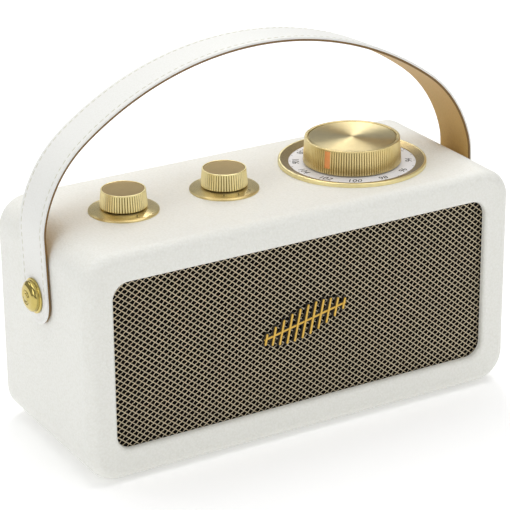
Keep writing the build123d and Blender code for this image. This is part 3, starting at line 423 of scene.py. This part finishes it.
def dress_cad_nodes():
    """Gives every CAD node the procedural material of its slot in the record."""
    for part in frame["record"]["subparts"]:
        node_object = frame["nodes"][part["node"]]
        node_object.material_slots[0].material = SLOT_MATERIALS[part["material_slot"]]
    for name in ("grille_frame", "grille_cloth"):
        frame["nodes"][name].material_slots[0].material = BLACKENED


# ---- Grille -------------------------------------------------------------------------------

WIRE_SPACING = 2.364      # between neighbouring parallel wires
WIRE_SLOPE = math.radians(39.1)
FRONT_WIRE_RADIUS = 0.26
BACK_WIRE_RADIUS = 0.21
FRONT_WIRE_DIP = 0.05     # how far a front wire is pressed back between crossings
BACK_WIRE_LIFT = 0.42     # how far a cross wire comes forward between front wires
MESH_CORNER = 8.6         # radius of the mesh's corners
MESH_MARGIN = 0.4         # between the mesh's edge and the wires' centres


def in_opening(x, z):
    """Whether a point lies inside the mesh's rounded outline."""
    past_x = abs(x) - (MESH_HIGH.x - MESH_MARGIN - MESH_CORNER)
    past_z = abs(z) - (MESH_HIGH.z - GRILLE_Z - MESH_MARGIN - MESH_CORNER)
    if past_x > 0 and past_z > 0:
        return math.hypot(past_x, past_z) < MESH_CORNER
    return past_x < MESH_CORNER and past_z < MESH_CORNER


def wire_family(mesh, side, radius, steps_per_cell, depth_at):
    """Parallel wires across the opening; side is the sign of their slope."""
    along = Vector((math.cos(WIRE_SLOPE), 0, side * math.sin(WIRE_SLOPE)))
    square = Vector((-side * math.sin(WIRE_SLOPE), 0, math.cos(WIRE_SLOPE)))
    depth = Vector((0, 1, 0))
    cell = WIRE_SPACING / math.sin(2 * WIRE_SLOPE)
    step = cell / steps_per_cell
    reach = math.hypot(MESH_HIGH.x, MESH_HIGH.z - GRILLE_Z)
    count = int(reach / WIRE_SPACING)
    tilt = math.cos(2 * WIRE_SLOPE)
    for index in range(-count, count + 1):
        start = index * tilt * cell
        points = []
        cells = int(reach / cell) + 1
        for tick in range(-cells * steps_per_cell, cells * steps_per_cell + 1):
            flat = square * (index * WIRE_SPACING) + along * (start + tick * step)
            if in_opening(flat.x, flat.z):
                phase = tick / steps_per_cell
                points.append(flat + depth * depth_at(phase) + Vector((0, 0, GRILLE_Z)))
        if len(points) > 2:
            mesh.add(*tube(points, lambda _: (square, depth), radius, 6))


def woven_grille():
    """Brass wires sloping down to the right, with cross wires pressed forward between them."""
    front_line = MESH_LOW.y + FRONT_WIRE_RADIUS
    back_line = MESH_HIGH.y - BACK_WIRE_RADIUS
    crest = 0.25

    def front_depth(phase):
        return front_line + FRONT_WIRE_DIP * (1 - math.cos(FULL_TURN * phase)) / 2

    def back_depth(phase):
        share = phase % 1.0
        forward = share / crest if share < crest else (1 - share) / (1 - crest)
        return back_line - BACK_WIRE_LIFT * forward

    mesh = Mesh()
    wire_family(mesh, -1, FRONT_WIRE_RADIUS, 2, front_depth)
    wire_family(mesh, 1, BACK_WIRE_RADIUS, 4, back_depth)
    piece = make_piece("grille_weave", mesh.vertices, mesh.faces, [BRASS_WIRE], "cabinet")
    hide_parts("grille_mesh")


# ---- Emblem -------------------------------------------------------------------------------

BADGE_LENGTH = 49.0
BADGE_RISE = math.radians(12)
BADGE_LEAN = math.radians(24)
BADGE_BARS = 11
BADGE_BAR_WIDTH = 1.7
BADGE_TALLEST = 18.0
RAIL_WIDTH = 1.6


def pill(width, height, y_front, y_back, edge, lean, x):
    """A leaning round-ended bar with a rounded front edge, on the emblem's slope."""
    loops = [(0.0, y_back), (0.0, y_front + edge)]
    for step in range(1, 5):
        turn = step / 4 * math.pi / 2
        loops.append((edge * (1 - math.cos(turn)), y_front + edge * (1 - math.sin(turn))))
    half_turn = 10
    vertices = []
    for inset, y in loops:
        radius = width / 2 - inset
        for end in (1, -1):
            for step in range(half_turn + 1):
                angle = math.pi * step / half_turn + (0 if end > 0 else math.pi)
                z = end * (height / 2 - width / 2) + radius * math.sin(angle)
                flat = Vector((radius * math.cos(angle), z))
                flat.rotate(Matrix.Rotation(-lean, 2))
                flat += Vector((x, 0))
                flat.rotate(Matrix.Rotation(BADGE_RISE, 2))
                vertices.append(Vector((flat.x, y, flat.y + GRILLE_Z)))
    ring = 2 * (half_turn + 1)
    faces = []
    for row in range(len(loops) - 1):
        for index in range(ring):
            following = (index + 1) % ring
            faces.append((row * ring + index, row * ring + following,
                          (row + 1) * ring + following, (row + 1) * ring + index))
    faces.append(tuple(range(ring)))
    faces.append(tuple(range(len(vertices) - ring, len(vertices))))
    return vertices, faces


def emblem():
    """A plain row of gold bars on a rail, each over a slightly larger dark backing."""
    mesh = Mesh()
    y_back = MESH_LOW.y
    pitch = BADGE_LENGTH / BADGE_BARS
    shapes = [(0.0, RAIL_WIDTH, BADGE_LENGTH - RAIL_WIDTH, math.pi / 2)]
    for index in range(BADGE_BARS):
        x = (index - (BADGE_BARS - 1) / 2) * pitch
        height = BADGE_TALLEST * math.cos(math.pi * x / (BADGE_LENGTH * 1.2))
        shapes.append((x, BADGE_BAR_WIDTH, height, BADGE_LEAN))
    for x, width, height, lean in shapes:
        gold_width = width - 0.5
        front = 1.2 if lean == BADGE_LEAN else 0.9
        mesh.add(*pill(gold_width, height - 0.5, y_back - front, y_back - 0.3, 0.3, lean, x), 0)
        mesh.add(*pill(width + 0.7, height + 0.7, y_back - 0.5, y_back, 0.15, lean, x), 1)
    piece = make_piece("front_emblem", mesh.vertices, mesh.faces, [GOLD, DARK_INK], "cabinet",
                       mesh.materials)
    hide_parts("front_badge")


# ---- Controls -----------------------------------------------------------------------------

# The shape of one flute: (share of the pitch, share of the depth).
SMALL_CUT = [(0.0, 1.0), (0.12, 0.75), (0.24, 0.12), (0.36, 0.0), (0.64, 0.0), (0.76, 0.12), (0.88, 0.75)]
TUNING_CUT = [(0.0, 1.0), (0.1, 0.85), (0.2, 0.1), (0.3, 0.0), (0.7, 0.0), (0.8, 0.1), (0.9, 0.85)]
SMALL_FLUTES = 54
TUNING_FLUTES = 120
FLUTE_DEPTH = 0.42
KNOB_DRAFT = 0.8          # how much narrower a knob is at its top than at its foot
FINE_RING = 192           # points round a smooth ring
CAP_RADIUS = 21.75
RECESS_RADIUS = 22.1


def small_bezel(name, control):
    """The flange under a small knob: a thin rim and a shallow cone up to the knob."""
    low, high = node_box(control + "_bezel")
    radius = (high.x - low.x) / 2
    hole = 3.6
    profile = rounded([
        (hole, TOP, 0), (radius, TOP, 0.1), (radius, TOP + 0.75, 0.3), (radius - 0.9, TOP + 1.15, 0.5),
        (11.0, high.z, 0.6), (hole, high.z, 0.1), (hole, TOP, 0)])
    place = (control_x(control), MIDDLE, 0)
    piece = turned(name, profile, plain_ring(FINE_RING), place, [BRASS_BRUSHED], "cabinet")
    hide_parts(control + "_bezel")


def small_knob(name, control):
    """A finely fluted knob with a thin rim round its dished top."""
    low, high = node_box(control + "_knob")
    radius = (high.x - low.x) / 2
    z_low, z_high = low.z, high.z
    groove_top = z_high - 0.75

    def side(z):
        return radius - KNOB_DRAFT * (z - z_low) / (z_high - z_low)

    profile = rounded([
        (0, z_low + 4, 0), (7.5, z_low + 4, 0.3), (7.5, z_low, 0.3), (side(z_low), z_low, 0.25),
        (side(z_low + 0.7), z_low + 0.7, 0), (side(groove_top), groove_top, 0),
        (side(groove_top + 0.3), groove_top + 0.3, 0), (side(z_high), z_high, 0.45),
        (side(z_high) - 0.55, z_high, 0.2), (side(z_high) - 0.75, z_high - 0.25, 0.3),
        (0, z_high - 0.4, 0)])

    def groove(at_radius, z):
        return FLUTE_DEPTH if at_radius > 9 and z < groove_top + 0.05 else 0.0

    # The dished top takes the darker third material: painted shade.
    def finish(at_radius, z):
        return 2 if at_radius < side(z_high) - 0.6 and z > z_high - 0.8 else 0

    place = (control_x(control), MIDDLE, 0)
    # The sides take the lighter first material: painted light.
    piece = turned(name, profile, fluted_ring(SMALL_FLUTES, SMALL_CUT), place,
                   [BRASS_PAINTED_LIGHT, BRASS_GROOVE_SHADE, BRASS_TOP_SHADE], control,
                   groove, finish=finish)
    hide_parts(control + "_knob")


def tuning_bezel():
    """The ring round the dial: a round crest outside in lighter brass (painted highlight) and a slope down
    to the dial in darker brass (painted shade).
    """
    low, high = node_box("tuning_bezel")
    radius = (high.x - low.x) / 2
    inner = radius - 5.25
    profile = rounded([
        (inner, DIAL_TOP, 0), (radius, TOP, 0.1), (radius, high.z, 0.8), (radius - 1.1, high.z, 0.4),
        (inner, DIAL_TOP + 0.35, 0.2), (inner, DIAL_TOP, 0)])

    # The inner slope takes the darker second material: painted shade; the crest keeps the lighter first
    # one: painted highlight.
    def finish(at_radius, z):
        return 1 if at_radius < radius - 1.2 else 0

    piece = turned("tuning_bezel_ring", profile, plain_ring(FINE_RING), (TUNING_X, MIDDLE, 0),
                   [BRASS_PAINTED_LIGHT, BRASS_SLOPE_SHADE], "cabinet", finish=finish)
    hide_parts("tuning_bezel")


def tuning_knob():
    """The large fluted knob, its rim, and the recess for its brushed cap."""
    low, high = node_box("tuning_knob")
    radius = (high.x - low.x) / 2
    z_low, z_high = low.z, high.z
    groove_top = z_high - 0.8

    def side(z):
        return radius - KNOB_DRAFT * (z - z_low) / (z_high - z_low)

    profile = rounded([
        (0, z_low + 6, 0), (20, z_low + 6, 0.3), (20, z_low, 0.3), (side(z_low), z_low, 0.25),
        (side(z_low + 0.7), z_low + 0.7, 0), (side(groove_top), groove_top, 0),
        (side(groove_top + 0.35), groove_top + 0.35, 0), (side(z_high), z_high, 0.5),
        (RECESS_RADIUS, z_high, 0.25), (RECESS_RADIUS, z_high - 1.0, 0.1), (0, z_high - 1.0, 0)])

    def groove(at_radius, z):
        return FLUTE_DEPTH if at_radius > 22.5 and z < groove_top + 0.05 else 0.0

    place = (TUNING_X, MIDDLE, 0)
    # The flute bottoms take the darker second material: painted shade in the grooves.
    knob = turned("tuning_knob_body", profile, fluted_ring(TUNING_FLUTES, TUNING_CUT), place,
                  [BRASS_SATIN, BRASS_GROOVE_SHADE], "tuning", groove)
    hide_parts("tuning_knob")
    cap_profile = rounded([
        (0, z_high - 1.0, 0), (CAP_RADIUS, z_high - 1.0, 0), (CAP_RADIUS, z_high - 0.2, 0.25),
        (0, z_high - 0.15, 0)])
    cap = turned("tuning_knob_disc", cap_profile, plain_ring(FINE_RING), place, [BRASS_SPUN],
                 "tuning")
    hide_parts("tuning_knob_cap")


# ---- Dial markings ------------------------------------------------------------------------

INK_THICKNESS = 0.04
NUMERAL_RADIUS = 28.3
NUMERAL_HEIGHT = 3.5
FONT_SCALE = 1.4          # font size for each unit of a digit's height
TICK_RADIUS = 30.9
TICK_LENGTH = 0.9
TICK_WIDTH = 0.25
THIN_TICK_WIDTH = 0.18
MARK_RADIUS = 14.0
MARK_LENGTH = 1.5
MARK_WIDTH = 0.5
FIRST_NUMBER = 88
LAST_NUMBER = 108
FIRST_ANGLE = math.radians(60)
DIAL_SWEEP = math.radians(300)


def ring_bar(x, y, radius, angle, length, width, z):
    """A thin bar that lies on a ring, pointing at its centre."""
    outward = Vector((math.cos(angle), math.sin(angle), 0))
    sideways = Vector((-outward.y, outward.x, 0))
    vertices = []
    for height in (z, z + INK_THICKNESS):
        for along, across in ((-1, -1), (1, -1), (1, 1), (-1, 1)):
            spot = outward * (radius + along * length / 2) + sideways * (across * width / 2)
            vertices.append(spot + Vector((x, y, height)))
    faces = [(0, 1, 2, 3), (4, 5, 6, 7)]
    faces += [(k, (k + 1) % 4, (k + 1) % 4 + 4, k + 4) for k in range(4)]
    return vertices, faces


def numeral(number, angle):
    """The outline of one dial number as vertices and faces, its top towards the centre."""
    text = bpy.data.curves.new("numeral", "FONT")
    text.body = str(number)
    text.size = NUMERAL_HEIGHT * FONT_SCALE
    text.align_x = "CENTER"
    text.align_y = "CENTER"
    text.extrude = INK_THICKNESS / 2
    text.shear = 0.15
    text.resolution_u = 3
    holder = bpy.data.objects.new("numeral", text)
    bpy.context.scene.collection.objects.link(holder)
    bpy.context.view_layer.update()
    flat = bpy.data.meshes.new_from_object(holder)
    turn = Matrix.Rotation(angle + math.pi / 2, 4, "Z")
    middle = Vector((TUNING_X, MIDDLE, DIAL_TOP + INK_THICKNESS / 2))
    outward = Vector((math.cos(angle), math.sin(angle), 0)) * NUMERAL_RADIUS
    vertices = [turn @ v.co + middle + outward for v in flat.vertices]
    faces = [tuple(p.vertices) for p in flat.polygons]
    bpy.data.objects.remove(holder)
    bpy.data.curves.remove(text)
    bpy.data.meshes.remove(flat)
    return vertices, faces


def dial_markings():
    """The station numbers with a tick outside each, and thinner ticks between them."""
    mesh = Mesh()
    for number in range(FIRST_NUMBER, LAST_NUMBER + 1):
        share = (number - FIRST_NUMBER) / (LAST_NUMBER - FIRST_NUMBER)
        angle = FIRST_ANGLE - share * DIAL_SWEEP
        width = THIN_TICK_WIDTH
        if number % 2 == 0:
            mesh.add(*numeral(number, angle))
            width = TICK_WIDTH
        mesh.add(*ring_bar(TUNING_X, MIDDLE, TICK_RADIUS, angle, TICK_LENGTH, width, DIAL_TOP))
    make_piece("dial_markings", mesh.vertices, mesh.faces, [DARK_INK], "cabinet")


def flange_marks(name, control, angles):
    """Short plain marks round the front of a small knob's flange."""
    x = control_x(control)
    high = node_box(control + "_bezel")[1]
    mesh = Mesh()
    for degrees in angles:
        mesh.add(*ring_bar(x, MIDDLE, MARK_RADIUS, math.radians(degrees), MARK_LENGTH, MARK_WIDTH, high.z))
    make_piece(name, mesh.vertices, mesh.faces, [DARK_INK], "cabinet")


# ---- Strap handle -------------------------------------------------------------------------
# The strap's path is that of the CAD strap: a straight tab, the leg's arcs and a round crown.

STRAP_X = SIDE + 0.5      # the strap's inner face beside the cabinet
STRAP_WIDTH = 25.5
STRAP_LINING = 1.1        # thickness of the lining
STRAP_FACE = 2.3          # thickness of both layers
TAB_LENGTH = 14.0         # from the strap's end up to the stud's centre
STRAIGHT_LEG = 30.0       # straight strap above the stud's centre
# The arcs above that, as (radius, degrees that they turn towards the middle).
LEG_ARCS = ((30.0, 12.0), (60.0, 41.0))
HANDLE_LEAN = math.radians(3.5)
STITCH_INSET = 2.5
STITCH_PITCH = 3.6
STITCH_LENGTH = 3.0
THREAD_RADIUS = 0.24


def strap_stretches():
    """The right half of the path as (start x, start z, heading, radius or None, length)."""
    x, z, heading = STRAP_X, STUD_Z - TAB_LENGTH, 0.0
    straight = TAB_LENGTH + STRAIGHT_LEG
    stretches = [(x, z, heading, None, straight)]
    z += straight
    for radius, turn in LEG_ARCS:
        inward = math.copysign(radius, turn)
        angle = math.radians(turn)
        stretches.append((x, z, heading, inward, radius * abs(angle)))
        x += inward * (math.cos(heading + angle) - math.cos(heading))
        z += inward * (math.sin(heading + angle) - math.sin(heading))
        heading += angle
    crown = x / math.cos(heading)
    stretches.append((x, z, heading, crown, crown * (math.pi / 2 - heading)))
    return stretches


STRETCHES = strap_stretches()
HALF_LENGTH = sum(stretch[4] for stretch in STRETCHES)


def strap_spot(distance):
    """Point and outward normal of the strap's inner face, by distance from the right tab's end."""
    mirrored = distance > HALF_LENGTH
    left = 2 * HALF_LENGTH - distance if mirrored else distance
    for x, z, heading, radius, length in STRETCHES:
        if left <= length or length == STRETCHES[-1][4]:
            break
        left -= length
    if radius is None:
        point = Vector((x, 0, z + left))
        angle = heading
    else:
        angle = heading + left / radius
        point = Vector((x + radius * (math.cos(angle) - math.cos(heading)), 0,
                        z + radius * (math.sin(angle) - math.sin(heading))))
    normal = Vector((math.cos(angle), 0, math.sin(angle)))
    if mirrored:
        point.x = -point.x
        normal.x = -normal.x
    return point, normal


LEAN = Matrix.Rotation(-HANDLE_LEAN, 3, "X")
PIVOT = Vector((0, MIDDLE, STUD_Z))


def strap_place(distance, across, rise):
    """A point on the leaning strap: along it, across it and above its inner face."""
    point, normal = strap_spot(distance)
    upright = point + normal * rise + Vector((0, across, -STUD_Z))
    return LEAN @ upright + PIVOT


END_RADIUS = STRAP_WIDTH / 2
LENGTH_STEPS = 300
END_STEPS = 24


def strap_outline():
    """(distance of the arc's centre, outward distance share, side share) round the strap's outline."""
    near_end = END_RADIUS
    far_end = 2 * HALF_LENGTH - END_RADIUS
    stations = [near_end + (far_end - near_end) * step / LENGTH_STEPS for step in range(LENGTH_STEPS + 1)]
    turns = [math.pi * step / END_STEPS for step in range(1, END_STEPS)]
    outline = [(station, 0.0, 1.0) for station in stations]
    outline += [(far_end, math.sin(turn), math.cos(turn)) for turn in turns]
    outline += [(station, 0.0, -1.0) for station in reversed(stations)]
    outline += [(near_end, -math.sin(turn), -math.cos(turn)) for turn in turns]
    return outline


OUTLINE = strap_outline()


def strap_layer(name, loops, materials, node_name, edge_rows=()):
    """One closed strap layer through (inset, rise) loops; edge_rows take the second material."""
    vertices = []
    for inset, rise in loops:
        reach = END_RADIUS - inset
        for centre, forward, side in OUTLINE:
            vertices.append(strap_place(centre + reach * forward, reach * side, rise))
    count = len(OUTLINE)
    faces = []
    kinds = []
    for row in range(len(loops) - 1):
        for index in range(count):
            following = (index + 1) % count
            faces.append((row * count + index, row * count + following,
                          (row + 1) * count + following, (row + 1) * count + index))
            kinds.append(1 if row in edge_rows else 0)
    piece = make_piece(name, vertices, faces, materials, "handle", kinds)
    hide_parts(node_name)
    return piece


def strap_leather():
    """The white top leather, with soft edges and a shallow sewn channel near each edge."""
    base = STRAP_LINING
    top = STRAP_FACE
    sunk = 0.16
    channel = [(0.9, 0.0), (0.45, sunk * 0.7), (0.0, sunk), (-0.45, sunk * 0.7), (-0.9, 0.0)]
    loops = [(END_RADIUS, top), (5.0, top - 0.02)]
    loops += [(STITCH_INSET + offset, top - 0.03 - drop) for offset, drop in channel]
    loops += [(0.9, top - 0.06), (0.45, top - 0.15), (0.16, top - 0.34), (0.02, top - 0.62)]
    loops += [(0.0, base + 0.1), (0.12, base), (END_RADIUS, base)]
    strap_layer("strap_top_leather", loops, [STRAP_WHITE], "strap_leather")


def strap_lining():
    """The tan lining under it, with a burnished brown edge."""
    top = STRAP_LINING
    loops = [(END_RADIUS, top), (0.1, top), (0.0, top - 0.12), (0.02, 0.42), (0.16, 0.16), (0.45, 0.03),
             (1.2, 0.0), (END_RADIUS, 0.0)]
    strap_layer("strap_tan_lining", loops, [LEATHER_TAN, STRAP_EDGE], "strap_lining",
                edge_rows=(1, 2, 3, 4))


def strap_stitches():
    """Single stitches along both edges, each thread dipping into the leather at its ends."""
    mesh = Mesh()
    first = END_RADIUS + 1.5
    span = 2 * HALF_LENGTH - 2 * first
    count = round(span / STITCH_PITCH)
    pitch = span / count
    for side in (-1, 1):
        across = side * (END_RADIUS - STITCH_INSET)
        for index in range(count):
            middle = first + (index + 0.5) * pitch
            points = []
            for part in range(7):
                share = part / 6
                lift = STRAP_FACE - 0.46 + 0.24 * math.sin(math.pi * share) ** 0.6
                points.append(strap_place(middle + (share - 0.5) * STITCH_LENGTH, across, lift))
            across_way = LEAN @ Vector((0, 1, 0))
            outward = LEAN @ strap_spot(middle)[1]
            mesh.add(*tube(points, lambda _, ways=(across_way, outward): ways, THREAD_RADIUS, 6))
    make_piece("strap_stitching", mesh.vertices, mesh.faces, [THREAD], "handle")


# ---- Handle studs -------------------------------------------------------------------------


def stud(name, axis):
    """A polished stud: a base ring, a dome with fine ridges and a rounded middle."""
    seat = STUD_HIGH.x - 4.9
    tip = STUD_HIGH.x
    side = SIDE + 0.45
    profile = [
        (0, side, 0), (3.0, side, 0.1), (3.0, seat, 0.1), (STUD_RADIUS - 0.3, seat, 0.1),
        (STUD_RADIUS, seat + 0.4, 0.3), (STUD_RADIUS, seat + 0.9, 0.4), (7.7, seat + 1.2, 0.2),
        (7.5, seat + 1.1, 0.2), (7.5, seat + 2.9, 1.8), (5.6, seat + 4.2, 1.6), (3.8, seat + 4.5, 0.4),
        (3.6, seat + 4.1, 0.2), (3.2, seat + 4.15, 0.2), (3.0, seat + 4.55, 0.2), (2.6, seat + 4.6, 0.2),
        (2.4, seat + 4.25, 0.2), (2.0, seat + 4.3, 0.2), (1.8, tip - 0.15, 0.3), (0.9, tip, 0.5),
        (0, tip, 0)]
    turned(name, rounded(profile), plain_ring(96), (0, MIDDLE, STUD_Z), [BRASS_POLISHED], "cabinet",
           axis=axis)


def studs():
    stud("stud_right", "X")
    stud("stud_left", "-X")
    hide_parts("handle_studs")


# ---- Floor, light and camera --------------------------------------------------------------
# This part is in metres.

CAMERA_PLACE = (-0.5220, -0.9060, 0.5110)
CAMERA_PITCH = math.radians(22.605)
CAMERA_YAW = math.radians(29.989)
CAMERA_ROLL = math.radians(-0.480)
CAMERA_LENS = 161.63


def camera():
    """The photograph's view, unshifted."""
    data = bpy.data.cameras.new("camera")
    data.lens = CAMERA_LENS
    data.sensor_width = 36
    data.clip_end = 50
    flat = math.cos(CAMERA_PITCH)
    forward = Vector((math.sin(CAMERA_YAW) * flat, math.cos(CAMERA_YAW) * flat, -math.sin(CAMERA_PITCH)))
    level = Vector((math.cos(CAMERA_YAW), -math.sin(CAMERA_YAW), 0))
    up = level.cross(forward)
    right = level * math.cos(CAMERA_ROLL) + up * math.sin(CAMERA_ROLL)
    up = up * math.cos(CAMERA_ROLL) - level * math.sin(CAMERA_ROLL)
    turn = Matrix((right, up, -forward)).transposed()
    holder = bpy.data.objects.new("camera", data)
    holder.matrix_world = Matrix.Translation(CAMERA_PLACE) @ turn.to_4x4()
    bpy.context.scene.collection.objects.link(holder)
    bpy.context.scene.camera = holder


def floor():
    """A large matt white floor."""
    mesh = bpy.data.meshes.new("floor")
    half = 8.0
    corners = [(-half, -half, 0), (half, -half, 0), (half, half, 0), (-half, half, 0)]
    mesh.from_pydata(corners, [], [(0, 1, 2, 3)])
    white = bpy.data.materials.new("floor_white")
    white.use_nodes = True
    shader = shader_of(white)
    shader.inputs["Base Color"].default_value = (0.94, 0.94, 0.94, 1)
    shader.inputs["Roughness"].default_value = 0.9
    shader.inputs["Emission Color"].default_value = (1, 1, 1, 1)
    shader.inputs["Emission Strength"].default_value = 0.22
    mesh.materials.append(white)
    sheet = bpy.data.objects.new("floor", mesh)
    bpy.context.scene.collection.objects.link(sheet)


def softbox(name, place, target, width, height, strength, colour=(1, 1, 1)):
    """A rectangular studio light turned to its target; strength is its radiance."""
    data = bpy.data.lights.new(name, "AREA")
    data.shape = "RECTANGLE"
    data.size = width
    data.size_y = height
    data.energy = strength * width * height * math.pi
    data.color = colour
    holder = bpy.data.objects.new(name, data)
    holder.location = place
    holder.rotation_mode = "QUATERNION"
    holder.rotation_quaternion = (Vector(target) - Vector(place)).to_track_quat("-Z", "Y")
    bpy.context.scene.collection.objects.link(holder)


def lights():
    """A pale room with softboxes above, in front, to the left and behind, and a bright strip."""
    world = bpy.data.worlds.new("studio")
    world.use_nodes = True
    background = world.node_tree.nodes["Background"]
    background.inputs["Color"].default_value = (1.0, 1.0, 1.0, 1)
    background.inputs["Strength"].default_value = 0.36
    bpy.context.scene.world = world
    middle = (0, 0, 0.08)
    softbox("top_light", (0.1, 0.1, 1.6), middle, 1.7, 1.3, 2.1)
    softbox("front_light", (0.5, -1.9, 0.8), middle, 1.5, 0.9, 1.3, (1.0, 0.99, 0.97))
    softbox("left_light", (-1.9, -0.4, 0.9), middle, 1.1, 1.1, 1.9, (0.98, 0.99, 1.0))
    softbox("rear_light", (-1.3, 1.7, 1.6), middle, 1.2, 0.8, 1.4)
    softbox("strip_light", (0.62, 1.08, 1.45), middle, 0.35, 0.9, 7.5)


# ---- The radio ----------------------------------------------------------------------------

dress_cad_nodes()
woven_grille()
emblem()
small_bezel("volume_flange", "volume")
small_bezel("mode_flange", "mode")
small_knob("volume_knob_fluted", "volume")
small_knob("mode_knob_fluted", "mode")
tuning_bezel()
tuning_knob()
dial_markings()
flange_marks("volume_marks", "volume", (-90,))
flange_marks("mode_marks", "mode", (-120, -90, -60))
strap_leather()
strap_lining()
strap_stitches()
studs()

floor()
lights()
camera()
bpy.context.scene.view_settings.view_transform = "Standard"
